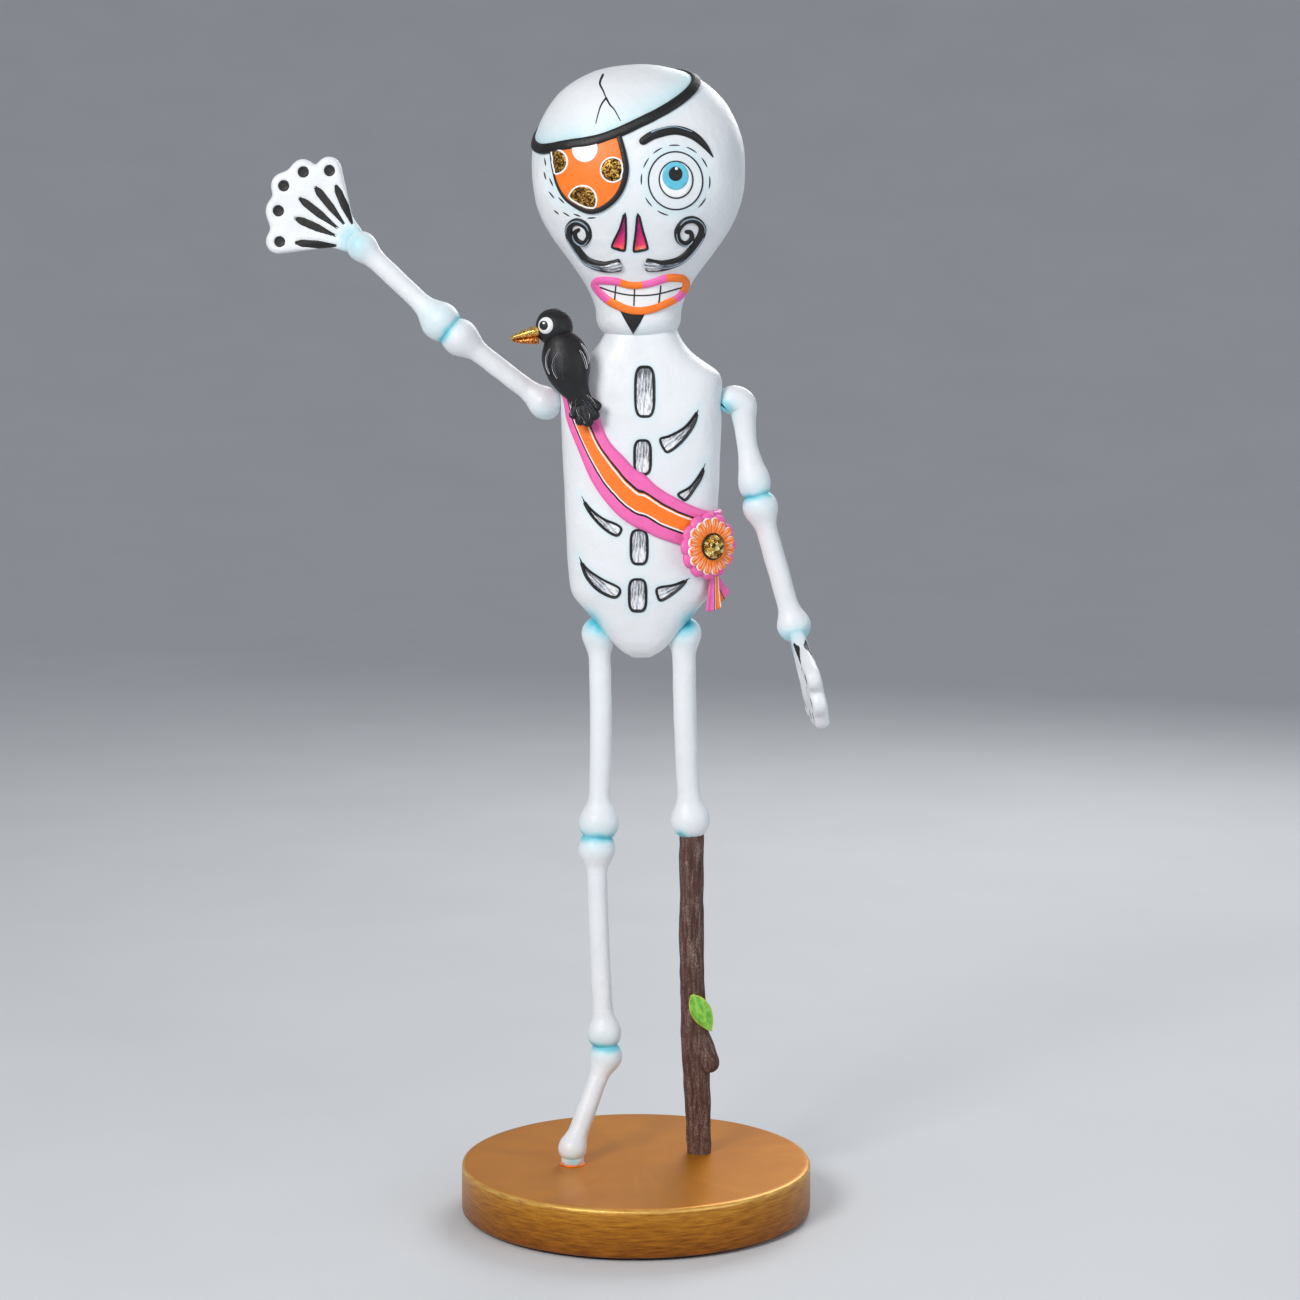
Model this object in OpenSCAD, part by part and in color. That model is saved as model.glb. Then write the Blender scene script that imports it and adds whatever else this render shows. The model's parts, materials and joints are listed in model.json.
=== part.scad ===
// Papier-mache catrina figure: a waving skeleton pirate with a crow on one shoulder, standing on a round base.
// +X is the figure's left hand side as seen from the front, -Y is the front and +Z is up.
// The origin is the centre of the base's underside, and all sizes are in millimetres.

/* [Base] */
// Diameter of the round base
base_d = 165; // [150:1:180]
// Height of the base with its felt
base_h = 24; // [20:1:30]
// Thickness of the felt under the base
felt_t = 1.5; // [1:0.5:3]

/* [Body] */
// Width across the shoulders
torso_w = 74.8; // [72:0.2:78]
// Depth of the chest
torso_depth = 44; // [42:1:48]
// Width of the head
head_w = 97.4; // [94:0.2:102]
// Depth of the head
head_depth = 80; // [76:1:86]
// Wall of the papier-mache shells
wall = 3; // [2.5:0.5:3.5]
// Diameter of the neck
neck_d = 33; // [31:0.5:34]

/* [Limbs] */
// Diameter of the leg bones' shafts
leg_shaft_d = 10.2; // [9:0.2:11]
// Diameter of the arm bones' shafts
arm_shaft_d = 9.4; // [8:0.2:10]
// Diameter of the stick that stands in for a lower leg
stick_d = 11.4; // [10:0.2:12]
// Thickness of the hands
hand_t = 7; // [6:0.5:8]

/* [Armature] */
// Diameter of the steel pins in the legs
leg_pin_d = 4; // [3:0.5:4.5]
// Diameter of the steel pins in the arms, which also turn in the shoulders
arm_pin_d = 3; // [2:0.5:3.5]
// Diameter of the wooden spine
spine_d = 16; // [14:1:18]
// Diameter of the wooden rod across the shoulders
shoulder_rod_d = 10; // [8:0.5:10]
// Gap around each pin and rod in its hole
fit = 0.05; // [0.02:0.01:0.08]

/* [Hidden] */
$fn = 64;

bone_white = [0.93, 0.94, 0.95];
wood_tan = [0.76, 0.62, 0.42];
steel_grey = [0.55, 0.56, 0.58];
paint_black = [0.06, 0.06, 0.07];
pink = [0.95, 0.35, 0.65];
orange = [1, 0.45, 0.08];
gold = [0.72, 0.48, 0.14];

// Everything above the base is drawn in the figure's frame: z = 0 is the top of the base.
body_x = 2.6;                 // middle of the torso, a little to one side of the base's centre
body_y = 8;                   // plane in which the halves of the torso meet
head_x = 1.3;
head_y = 2;
jaw_y = 5.5;                  // the head leans forward from its jaw to its brow
pin_z = 356.5;                // height of both shoulder pins
side_gap = 0.4;               // gap between an arm's head and the side of the torso
skin_gap = 0.4;               // gap between the torso or head and what is applied to it
big = 400;

// ---- Small helpers ----

function unit(v) = v / norm(v);
function signed_pow(x, p) = sign(x) * pow(abs(x), p);

// Points on a smooth curve through the rows of p, whose ends are kept.
function spline_at(a, b, c, d, t) =
    0.5 * (2 * b + (c - a) * t + (2 * a - 5 * b + 4 * c - d) * t * t + (3 * b - 3 * c + d - a) * t * t * t);
function smooth(p, steps) = let (n = len(p)) concat(
    [for (i = [0 : n - 2], k = [0 : steps - 1])
        spline_at(p[max(i - 1, 0)], p[i], p[i + 1], p[min(i + 2, n - 1)], k / steps)],
    [p[n - 1]]);
function smooth_loop(p, steps) = let (n = len(p))
    [for (i = [0 : n - 1], k = [0 : steps - 1])
        spline_at(p[(i + n - 1) % n], p[i], p[(i + 1) % n], p[(i + 2) % n], k / steps)];

// Turns +Z to point from p to q and moves the origin to p.
module along(p, q) {
    v = q - p;
    translate(p)
        rotate([0, acos(v[2] / norm(v)), atan2(v[1], v[0])])
            children();
}

// All that lies beyond the plane through p, on the side that direction points to.
module beyond(p, direction) {
    along(p, p + direction) translate([-big / 2, -big / 2, 0]) cube(big);
}

module cut_beyond(p, direction) {
    difference() {
        children();
        beyond(p, direction);
    }
}

// A nearly upright twig. Each row is the x, y and z of its middle and its radius there.
module twig(rows, sides) {
    top = len(rows) - 1;
    points = [for (r = rows, j = [0 : sides - 1])
        [r[0] + r[3] * cos(360 * j / sides), r[1] + r[3] * sin(360 * j / sides), r[2]]];
    function at(i, j) = i * sides + j % sides;
    bark = [for (i = [0 : top - 1], j = [0 : sides - 1]) each [
        [at(i, j), at(i + 1, j + 1), at(i, j + 1)], [at(i, j), at(i + 1, j), at(i + 1, j + 1)]]];
    polyhedron(points, concat(bark,
        [[for (j = [0 : sides - 1]) at(0, j)], [for (j = [sides - 1 : -1 : 0]) at(top, j)]]));
}

// A grid of points under a grid of points, closed into one solid. Rows join end to end if loop is true.
module grid_solid(top, under, loop = false) {
    rows = len(top);
    cols = len(top[0]);
    size = rows * cols;
    last = loop ? rows - 1 : rows - 2;
    all_points = concat([for (row = top, p = row) p], [for (row = under, p = row) p]);
    function at(i, j) = (i % rows) * cols + j;
    skin = [for (i = [0 : last], j = [0 : cols - 2]) each [
        [at(i, j), at(i + 1, j), at(i + 1, j + 1)], [at(i, j), at(i + 1, j + 1), at(i, j + 1)]]];
    base = [for (f = skin) [f[0] + size, f[2] + size, f[1] + size]];
    edges = [for (i = [0 : last]) each [
        [at(i, 0), at(i, 0) + size, at(i + 1, 0) + size], [at(i, 0), at(i + 1, 0) + size, at(i + 1, 0)],
        [at(i, cols - 1), at(i + 1, cols - 1), at(i + 1, cols - 1) + size],
        [at(i, cols - 1), at(i + 1, cols - 1) + size, at(i, cols - 1) + size]]];
    ends = loop ? [] : [for (j = [0 : cols - 2]) each [
        [at(0, j), at(0, j + 1), at(0, j + 1) + size], [at(0, j), at(0, j + 1) + size, at(0, j) + size],
        [at(rows - 1, j), at(rows - 1, j) + size, at(rows - 1, j + 1) + size],
        [at(rows - 1, j), at(rows - 1, j + 1) + size, at(rows - 1, j + 1)]]];
    polyhedron(all_points, concat(skin, base, edges, ends));
}

// ---- Torso and head as stacks of rounded sections ----
// A form is [section of z and inset, centre x, function for the centre's y at z, squareness of its sections].

// Height, half width and half depth of the torso, from the crotch to the base of the neck.
torso_rows = [
    [238.5, 5, 4], [240, 8.5, 7.5], [242.5, 11, 9.5], [246, 14, 11.5], [254, 20.4, 14.5], [262, 27.2, 17],
    [267, 31.6, 18.3], [271, 33.3, 19], [276, 33.9, 19.8], [296, 34.9, 21], [326, 36.3, 22],
    [351, 37.2, 22], [363, 37.4, 21.2], [368, 37.2, 20.3], [371.5, 35.6, 19.6], [375, 30.5, 18.6],
    [379, 24.5, 17.8], [383, 20.6, 17.2], [387, 18, 16.9], [390.5, 16.5, 16.5], [395, 16.5, 16.5], [404, 16.5, 16.5]
];
torso_bottom = torso_rows[0][0];
torso_top = torso_rows[len(torso_rows) - 1][0];
neck_from = 380;
function torso_scale(z, body, neck) = z > neck_from ? neck : body;
function torso_section(z, inset) = [
    lookup(z, [for (r = torso_rows) [r[0], r[1] * torso_scale(r[0], torso_w / 74.8, neck_d / 33)]]) - inset,
    lookup(z, [for (r = torso_rows) [r[0], r[2] * torso_scale(r[0], torso_depth / 44, neck_d / 33)]]) - inset
];

crown_z = 511;
brow_z = 464;                 // widest level of the head
jaw_z = 397;                  // level at which the jaw turns under
chin_z = 385.4;
jaw_w = 39;
jaw_depth = 38;
function bulb(z, half, jaw, inset) =
    z > brow_z ? (half - inset) * pow(max(0, 1 - pow((z - brow_z) / (crown_z - brow_z - inset), 2.2)), 1 / 2.2)
    : z > jaw_z ? jaw - inset + (half - jaw) * (1 + cos(180 * pow((brow_z - z) / (brow_z - jaw_z), 1.25))) / 2
    : (jaw - inset) * pow(max(0, 1 - pow((jaw_z - z) / (jaw_z - chin_z - inset), 2.4)), 1 / 2.4);
function head_section(z, inset) =
    [bulb(z, head_w / 2, jaw_w / 2, inset), bulb(z, head_depth / 2, jaw_depth / 2, inset)];

torso = [function (z, inset) torso_section(z, inset), body_x, function (z) body_y, 2.8];
head = [function (z, inset) head_section(z, inset), head_x,
    function (z) lookup(z, [[jaw_z, jaw_y], [jaw_z + 22, head_y + 1], [brow_z, head_y]]), 2.4];

// The point of a form at an angle round it, counted from +X towards the back.
function around(form, angle, z, inset = 0) = let (s = form[0](z, inset), e = 2 / form[3])
    [form[1] + s[0] * signed_pow(cos(angle), e), form[2](z) + s[1] * signed_pow(sin(angle), e), z];
// The angle round a form of the front point at x. An x beyond the outline gives the side.
function front_angle(form, x, z) = let (u = (x - form[1]) / form[0](z, 0)[0])
    360 - acos(signed_pow(max(-1, min(1, u)), form[3] / 2));
function front_of(form, x, z) = around(form, front_angle(form, x, z), z);
// The outward normal at a point on a form.
function normal_of(form, p) = let (
        h = 0.5, n = form[3], s = form[0](p[2], 0), t = form[0](p[2] + h, 0),
        u = (p[0] - form[1]) / s[0], v = (p[1] - form[2](p[2])) / s[1],
        shift = form[2](p[2] + h) - form[2](p[2]))
    unit([signed_pow(u, n - 1) / s[0], signed_pow(v, n - 1) / s[1],
        -(pow(abs(u), n) * (t[0] - s[0]) / s[0] + pow(abs(v), n) * (t[1] - s[1]) / s[1]
            + signed_pow(v, n - 1) * shift / s[1]) / h]);

// Half of a hollow form, split by the plane through its centre. start is 180 for the front, 0 for the back.
module half_shell(form, outer_z, inner_z, start, open_top) {
    k = 18;
    rows = len(outer_z);
    w = k + 1;
    size = rows * w;
    top = rows - 1;
    function rings(levels, inset) =
        [for (z = levels, j = [0 : k]) around(form, start + 180 * j / k, z, inset)];
    points = concat(rings(outer_z, 0), rings(inner_z, wall));
    function at(i, j) = i * w + j;
    outside = [for (i = [0 : top - 1], j = [0 : k - 1]) each [
        [at(i, j), at(i + 1, j + 1), at(i, j + 1)], [at(i, j), at(i + 1, j), at(i + 1, j + 1)]]];
    inside = [for (f = outside) [f[0] + size, f[2] + size, f[1] + size]];
    seam = [for (i = [0 : top - 1]) each [
        [at(i, 0), at(i, 0) + size, at(i + 1, 0) + size], [at(i, 0), at(i + 1, 0) + size, at(i + 1, 0)],
        [at(i, k), at(i + 1, k) + size, at(i, k) + size], [at(i, k), at(i + 1, k), at(i + 1, k) + size]]];
    bottom = [
        [for (j = [0 : k]) at(0, j)], [for (j = [k : -1 : 0]) at(0, j) + size],
        [at(0, 0), at(0, k), at(0, k) + size, at(0, 0) + size]];
    lid = open_top
        ? [for (j = [0 : k - 1]) [at(top, j), at(top, j) + size, at(top, j + 1) + size, at(top, j + 1)]]
        : [[for (j = [k : -1 : 0]) at(top, j)], [for (j = [0 : k]) at(top, j) + size],
           [at(top, 0), at(top, 0) + size, at(top, k) + size, at(top, k)]];
    polyhedron(points, concat(outside, inside, seam, bottom, lid));
}

torso_levels = [for (r = torso_rows) r[0]];
torso_levels_in = [for (z = torso_levels)
    torso_bottom + wall + (z - torso_bottom) * (torso_top - torso_bottom - wall) / (torso_top - torso_bottom)];
function head_levels(inset) = concat(
    [for (a = [86, 74, 60, 45, 28]) jaw_z - (jaw_z - chin_z - inset) * sin(a)],
    [for (i = [0 : 10]) jaw_z + (brow_z - jaw_z) * i / 10],
    [for (a = [12 : 12 : 84]) brow_z + (crown_z - brow_z - inset) * sin(a)]);

// A raised strip that lies on the front of a form. Each row of path is x, z and half width.
module front_strip(form, path, height, loop = false) {
    n = len(path);
    across = [-1, -0.55, 0, 0.55, 1];
    function row(i) = path[loop ? (i + n) % n : max(0, min(n - 1, i))];
    function side(i) = let (a = row(i - 1), b = row(i + 1), t = unit([b[0] - a[0], b[1] - a[1]])) [t[1], -t[0]];
    function lifted(i, q, lift) = let (s = side(i), p = front_of(form,
            path[i][0] + q * path[i][2] * s[0], path[i][1] + q * path[i][2] * s[1]))
        p + lift * normal_of(form, p);
    grid_solid(
        [for (i = [0 : n - 1]) [for (q = across) lifted(i, q, skin_gap + height * (1 - 0.5 * q * q))]],
        [for (i = [0 : n - 1]) [for (q = across) lifted(i, q, skin_gap)]],
        loop);
}

// ---- Bones ----

// A bone between the centres of its two end bulbs, with a slim shaft.
module bone(p, q, r_p, r_q, r_shaft) {
    length = norm(q - p);
    ease = 1.9;                                         // length of each flare, in bulb radii
    seam_turn = 100;                                    // keeps the surface's seam off the pins' holes
    function flare(s, r) = s > ease * r ? r_shaft : r_shaft + (r - r_shaft) * (1 + cos(180 * s / (ease * r))) / 2;
    near = [for (a = [90 : -15 : 15]) [r_p * cos(a), -r_p * sin(a)]];
    far = [for (a = [15 : 15 : 90]) [r_q * cos(a), length + r_q * sin(a)]];
    middle = concat(
        [for (i = [0 : 6]) let (s = ease * r_p * i / 6) [flare(s, r_p), s]],
        [for (i = [6 : -1 : 0]) let (s = ease * r_q * i / 6) [flare(s, r_q), length - s]]);
    along(p, q) rotate(seam_turn) rotate_extrude() polygon(concat(near, middle, far));
}

// Joint centres of the leg that is all bone, from the base up.
toe = [-30, -8, 7.5];
ankle_low = [-14.4, 6, 48.8];
ankle_high = [-15, 6, 58.9];
knee_low = [-18.7, 7, 148.8];
knee_high = [-17.3, 7, 160.3];
hip_bone = [-17.3, body_y, 249.5];
knee_z = 154;
ankle = [-14.7, 6, 54];
shin_way = unit(knee_low - ankle_high);
socket_depth = 12;            // depth of the legs' holes in the base
up_vector = [0, 0, 1];

// The stick's middle and radius from the floor of its hole up, and the joint centres above it.
stick_r = stick_d / 2;
stick_rows = [
    [30, 12, 0.2 - socket_depth, stick_r], [30, 12, 8, stick_r], [28.9, 11.5, 36, stick_r + 0.3],
    [28, 10.8, 62, stick_r + 0.4], [26.4, 9.6, 90, stick_r - 0.2], [26.4, 9.4, 122, stick_r],
    [26.2, 9.2, knee_z, stick_r]];
knee_stick = [25.6, 9, 161.4];
hip_stick = [22.4, body_y, 249.5];

// Each pin is given by its two ends.
function pin_ends(p, way, before, after) = [p - before * way, p + after * way];
toe_pin_ends = pin_ends([toe[0], toe[1], 0], up_vector, socket_depth - 1, toe[2] + 3);
ankle_pin_ends = pin_ends(ankle, unit([0.15, 0.16, 0.97]), 12, 12);
knee_pin_bone_ends = pin_ends([-18, 7, knee_z], up_vector, 14, 14);
hip_pin_bone_ends = pin_ends(hip_bone, up_vector, 14, 24);
knee_pin_stick_ends = pin_ends([26, 9.1, knee_z], up_vector, 20, 14);
hip_pin_stick_ends = pin_ends(hip_stick, up_vector, 14, 24);

module pin(ends, gap = 0, d = leg_pin_d) {
    color(steel_grey) along(ends[0], ends[1]) cylinder(d = d + 2 * gap, h = norm(ends[1] - ends[0]));
}

// The sloping side of the hips, as a point on it and the direction into the torso.
hip_slope = [0.752, 0, 0.659];
module under_hips(side) {
    p = [body_x + side * 20.9, body_y, 254];
    cut_beyond([p[0] + side * 0.15, p[1], p[2] - 0.15], [-side * hip_slope[0], 0, hip_slope[2]]) children();
}

module base_felt() {
    color([0.12, 0.12, 0.12]) translate([0, 0, -base_h]) cylinder(d = base_d - 8, h = felt_t, $fn = 128);
}

module base_disc() {
    edge = 1.6;
    r = base_d / 2;
    color(gold) difference() {
        rotate_extrude($fn = 128) polygon(concat(
            [[0, felt_t - base_h], [r - edge / 2, felt_t - base_h], [r, felt_t - base_h + edge / 2]],
            [for (a = [0 : 18 : 90]) [r - edge + edge * cos(a), -edge + edge * sin(a)]],
            [[0, 0]]));
        translate([toe[0], toe[1], -socket_depth]) cylinder(d = leg_pin_d + 2 * fit, h = socket_depth + 1);
        translate([stick_rows[0][0], stick_rows[0][1], -socket_depth])
            cylinder(d = stick_d + 0.6, h = socket_depth + 1);
    }
}

module foot() {
    stub_r = 5;
    color(bone_white) difference() {
        cut_beyond(ankle, shin_way) cut_beyond([0, 0, 0], -up_vector) union() {
            bone(toe, ankle_low, 6.6, 7.8, leg_shaft_d / 2 - 0.4);
            translate([toe[0], toe[1], 0]) cylinder(r = stub_r, h = toe[2]);
        }
        pin(toe_pin_ends, fit);
        pin(ankle_pin_ends, fit);
    }
}

module tibia() {
    color(bone_white) difference() {
        cut_beyond([0, 0, knee_z], up_vector) cut_beyond(ankle, -shin_way)
            bone(ankle_high, knee_low, 8.2, 8.7, leg_shaft_d / 2 - 0.3);
        pin(ankle_pin_ends, fit);
        pin(knee_pin_bone_ends, fit);
    }
}

module femur_bone_leg() {
    color(bone_white) difference() {
        cut_beyond([0, 0, knee_z], -up_vector) under_hips(-1)
            bone(knee_high, hip_bone, 9.6, 8, leg_shaft_d / 2);
        pin(knee_pin_bone_ends, fit);
        pin(hip_pin_bone_ends, fit);
    }
}

module toe_pin() {
    pin(toe_pin_ends);
}

module ankle_pin() {
    pin(ankle_pin_ends);
}

module knee_pin_bone_leg() {
    pin(knee_pin_bone_ends);
}

module hip_pin_bone_leg() {
    pin(hip_pin_bone_ends);
}

module femur_stick_leg() {
    color(bone_white) difference() {
        cut_beyond([0, 0, knee_z], -up_vector) under_hips(1)
            bone(knee_stick, hip_stick, 9.4, 8, leg_shaft_d / 2 + 0.2);
        pin(knee_pin_stick_ends, fit);
        pin(hip_pin_stick_ends, fit);
    }
}

module stick_leg() {
    fork = [28, 10.6, 66];
    stub_end = [35, 7, 39];
    color([0.24, 0.14, 0.11]) difference() {
        union() {
            twig(smooth(stick_rows, 4), 24);
            cut_beyond(stub_end, [0.5, -0.55, -0.67]) along(fork, stub_end)
                cylinder(r1 = stick_r - 0.4, r2 = stick_r + 0.5, h = norm(stub_end - fork) + 8);
        }
        pin(knee_pin_stick_ends, fit);
    }
}

module knee_pin_stick_leg() {
    pin(knee_pin_stick_ends);
}

module hip_pin_stick_leg() {
    pin(hip_pin_stick_ends);
}

// A pointed leaf: the overlap of two round discs.
module leaf() {
    length = 19.5;
    width = 9.6;
    thickness = 1.4;
    r = (length * length + width * width) / (4 * width);
    color([0.45, 0.72, 0.25])
        translate([31, 3.2, 70]) rotate([90, 0, 0]) rotate(28)
            linear_extrude(thickness) intersection() {
                translate([r - width / 2, 0]) circle(r);
                translate([width / 2 - r, 0]) circle(r);
            }
}

// ---- Frame inside the torso and head ----

hip_block_z = [260, 278];
tenon_d = 8;
spine_top = 428;

module hip_block() {
    half_low = 19;
    half_high = 27;
    board_t = 12;
    color(wood_tan) difference() {
        translate([body_x, body_y + board_t / 2, 0]) rotate([90, 0, 0]) linear_extrude(board_t) polygon([
            [-half_low, hip_block_z[0]], [half_low, hip_block_z[0]],
            [half_high, 269], [half_high, hip_block_z[1]], [-half_high, hip_block_z[1]], [-half_high, 269]]);
        pin(hip_pin_bone_ends, fit);
        pin(hip_pin_stick_ends, fit);
        translate([body_x, body_y, hip_block_z[0] - 1]) cylinder(d = tenon_d + 2 * fit, h = 40);
    }
}

module spine_dowel() {
    tenon_from = hip_block_z[0] + 4;
    color(wood_tan) difference() {
        union() {
            translate([body_x, body_y, hip_block_z[1]]) cylinder(d = spine_d, h = spine_top - hip_block_z[1]);
            translate([body_x, body_y, tenon_from]) cylinder(d = tenon_d, h = hip_block_z[1] - tenon_from);
        }
        translate([-big / 2, body_y, pin_z]) rotate([0, 90, 0]) cylinder(d = shoulder_rod_d + 2 * fit, h = big);
        frame_pin_shape(fit);
    }
}

shoulder_x = [body_x - torso_w / 2, body_x + torso_w / 2];
rod_reach = torso_w / 2 - wall - 1.4;
pin_depth = 22;

module shoulder_dowel() {
    color(wood_tan) difference() {
        translate([body_x - rod_reach, body_y, pin_z]) rotate([0, 90, 0])
            cylinder(d = shoulder_rod_d, h = 2 * rod_reach);
        pin(raised_shoulder_ends, fit, arm_pin_d);
        pin(hanging_shoulder_ends, fit, arm_pin_d);
        frame_pin_shape(fit);
    }
}

module frame_pin_shape(gap) {
    translate([body_x, body_y - spine_d / 2 - 0.5, pin_z]) rotate([-90, 0, 0])
        cylinder(r = 1 + gap, h = spine_d + 1);
}

module frame_pin() {
    color(steel_grey) frame_pin_shape(0);
}

module torso_half(start) {
    color(bone_white) difference() {
        half_shell(torso, torso_levels, torso_levels_in, start, true);
        translate([-big / 2, body_y, pin_z]) rotate([0, 90, 0]) cylinder(d = arm_pin_d + 0.6, h = big);
        for (p = [hip_bone, hip_stick])
            translate([p[0], p[1], p[2] - 20]) cylinder(d = leg_pin_d + 0.4, h = 45);
        if (start == 180) crow_pin_shape(fit);
    }
}

module torso_front() {
    torso_half(180);
}

module torso_back() {
    torso_half(0);
}

module head_block() {
    color(wood_tan) translate([body_x, body_y, 412]) difference() {
        cylinder(r1 = 13, r2 = 19, h = 13);
        translate([0, 0, -1]) cylinder(d = spine_d + 2 * fit, h = 20);
    }
}

// The nose is two slim triangular hollows in the front of the head.
module nose_hollow(side) {
    depth = 2;
    floor_y = front_of(head, 0, 434)[1] + depth;
    translate([0, floor_y, 0]) rotate([90, 0, 0]) linear_extrude(20)
        polygon([[side * 2.6, 442], [side * 7.4, 427.5], [side * 2.2, 426.4]]);
}

neck_gap = 0.25;              // round the neck, where the head sits over it
module head_half(start) {
    color(bone_white) difference() {
        half_shell(head, head_levels(0), head_levels(wall), start, false);
        translate([0, 0, chin_z - 5]) linear_extrude(torso_top - chin_z + 5.2)
            polygon([for (a = [0 : 6 : 354]) let (p = around(torso, a, torso_top, -neck_gap)) [p[0], p[1]]]);
    }
}

module head_front() {
    difference() {
        head_half(180);
        for (side = [-1, 1]) color(pink) nose_hollow(side);
    }
}

module head_back() {
    head_half(0);
}

// ---- What is applied to the head ----

// Level of the strap at an angle round the head. It lies in a plane that rises to the figure's left and back.
strap_half_w = 2.2;
function above_strap(p) = p[2] > 496.9 + 0.42 * p[0] + 0.43 * p[1];
function strap_level(angle, low, high, rounds) = let (z = (low + high) / 2)
    rounds == 0 ? z
    : above_strap(around(head, angle, z)) ? strap_level(angle, low, z, rounds - 1)
    : strap_level(angle, z, high, rounds - 1);

module patch_strap() {
    count = 60;
    thickness = 1.5;
    middle = [for (i = [0 : count - 1]) let (a = 360 * i / count)
        around(head, a, strap_level(a, brow_z - 10, crown_z - 0.1, 24))];
    function side(i) = let (
            t = middle[(i + 1) % count] - middle[(i + count - 1) % count], n = normal_of(head, middle[i]))
        unit(cross(n, t));
    function lifted(i, q, lift) = middle[i] + q * strap_half_w * side(i) + lift * normal_of(head, middle[i]);
    across = [-1, -0.4, 0.4, 1];
    color(paint_black) grid_solid(
        [for (i = [0 : count - 1]) [for (q = across) lifted(i, q, skin_gap + thickness * (1 - 0.4 * q * q))]],
        [for (i = [0 : count - 1]) [for (q = across) lifted(i, q, skin_gap)]],
        true);
}

// The eyepatch is an ellipse whose top ends along the strap's lower edge. It is built in rows that tilt with it.
module eyepatch() {
    middle = [-20.8, 460.5];
    half = [16.4, 16.8];
    thickness = 0.8;
    rows = 12;
    function rim(a) = [middle[0] + half[0] * cos(a), middle[1] + half[1] * sin(a)];
    function lifted(i, q, lift) = let (
            left = rim(157 + (267 - 157) * i / rows), right = rim(51 - (51 + 87) * i / rows),
            p = front_of(head, left[0] + (right[0] - left[0]) * q, left[1] + (right[1] - left[1]) * q))
        p + lift * normal_of(head, p);
    across = [0, 0.2, 0.5, 0.8, 1];
    color(orange) grid_solid(
        [for (i = [0 : rows]) [for (q = across) lifted(i, q, skin_gap + thickness)]],
        [for (i = [0 : rows]) [for (q = across) lifted(i, q, skin_gap)]]);
}

module eyebrow() {
    color(paint_black) front_strip(head, smooth([
        [2.8, 474.4, 1.1], [8.5, 477.7, 1.9], [17.5, 479.2, 1.9], [25.2, 477.2, 1.9], [30.7, 472.8, 1.3],
        [34.4, 468, 0.3]], 4), 1.4);
}

// The right hand side's moustache: a stem that rises into a spiral curl.
moustache_stem = [[5.5, 420, 2.4], [12.6, 419.7, 2.2], [20, 422, 1.9], [25.6, 426.8, 1.6]];
curl_centre = [24.2, 433.8];
moustache_path = concat(smooth(moustache_stem, 3), [for (i = [0 : 22]) let (a = -20 + 20 * i, r = 6.6 - 0.235 * i)
    [curl_centre[0] + r * cos(a), curl_centre[1] + r * sin(a), 1.5 - 0.02 * i]]);

module moustache_right() {
    color(paint_black) front_strip(head, [for (r = moustache_path) [-r[0], r[1], r[2]]], 1.4);
}

module moustache_left() {
    color(paint_black) front_strip(head, moustache_path, 1.4);
}

module lips() {
    color(orange) front_strip(head, smooth_loop([
        [-18.4, 412.4, 1.5], [-10, 412.9, 1.6], [-1.8, 410.9, 1.4], [6.4, 411.8, 1.5], [15, 414.3, 1.6],
        [22.6, 413.4, 1.6], [20.2, 406.8, 1.5], [14, 403, 1.7], [6.2, 400, 1.9], [-1.6, 399.7, 1.9],
        [-9, 402.4, 2], [-14.8, 406.4, 1.7]], 4), 1.6, true);
}

// ---- Sash, rosette and ribbon ----

// Rows across the front half of the sash: x and z of its lower edge, then of its upper edge.
// An x beyond the outline means the side of the torso, where the back half takes over.
sash_rows = [
    [-60, 368.5, -60, 377.5], [-32.4, 360, -20.5, 364.5], [-30.6, 350, -17.2, 354], [-26, 336.8, -12.3, 341.5],
    [-20, 322, -5.2, 333.1], [-11, 309.2, 1.6, 326.4], [-1.1, 301.3, 9.6, 320], [8.8, 296.2, 17.8, 315.7],
    [18.8, 292.6, 27, 311.3], [29, 289, 34, 309], [60, 287.5, 60, 308]];

module sash() {
    thickness = 2;
    front_half = [for (r = sash_rows) [
        front_angle(torso, r[0], r[1]), r[1], front_angle(torso, r[2], r[3]), r[3]]];
    n = len(front_half);
    back_half = [for (i = [n - 2 : -1 : 1]) let (r = front_half[i]) [720 - r[0], r[1], 720 - r[2], r[3]]];
    start = front_half[0];
    rows = smooth(concat(front_half, back_half, [[540, start[1], 540, start[3]]]), 4);
    count = len(rows) - 1;
    function lifted(r, q, lift) = let (p = around(torso, r[0] + (r[2] - r[0]) * q, r[1] + (r[3] - r[1]) * q))
        p + lift * normal_of(torso, p);
    across = [0, 0.25, 0.5, 0.75, 1];
    color(pink) difference() {
        grid_solid(
            [for (i = [0 : count - 1]) [for (q = across) lifted(rows[i], q, skin_gap + thickness)]],
            [for (i = [0 : count - 1]) [for (q = across) lifted(rows[i], q, skin_gap)]],
            true);
        crow_pin_shape(fit);
    }
}

rosette_at = [33.2, -10.1, 292];
rosette_turn = 35;            // how far the rosette faces round to the side
rosette_tilt = 0;
backing_t = 2.4;
petals_t = 2.4;
module on_rosette(lift) {
    translate(rosette_at) rotate([0, 0, rosette_turn]) rotate([90 - rosette_tilt, 0, 0]) translate([0, 0, lift])
        children();
}

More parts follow.
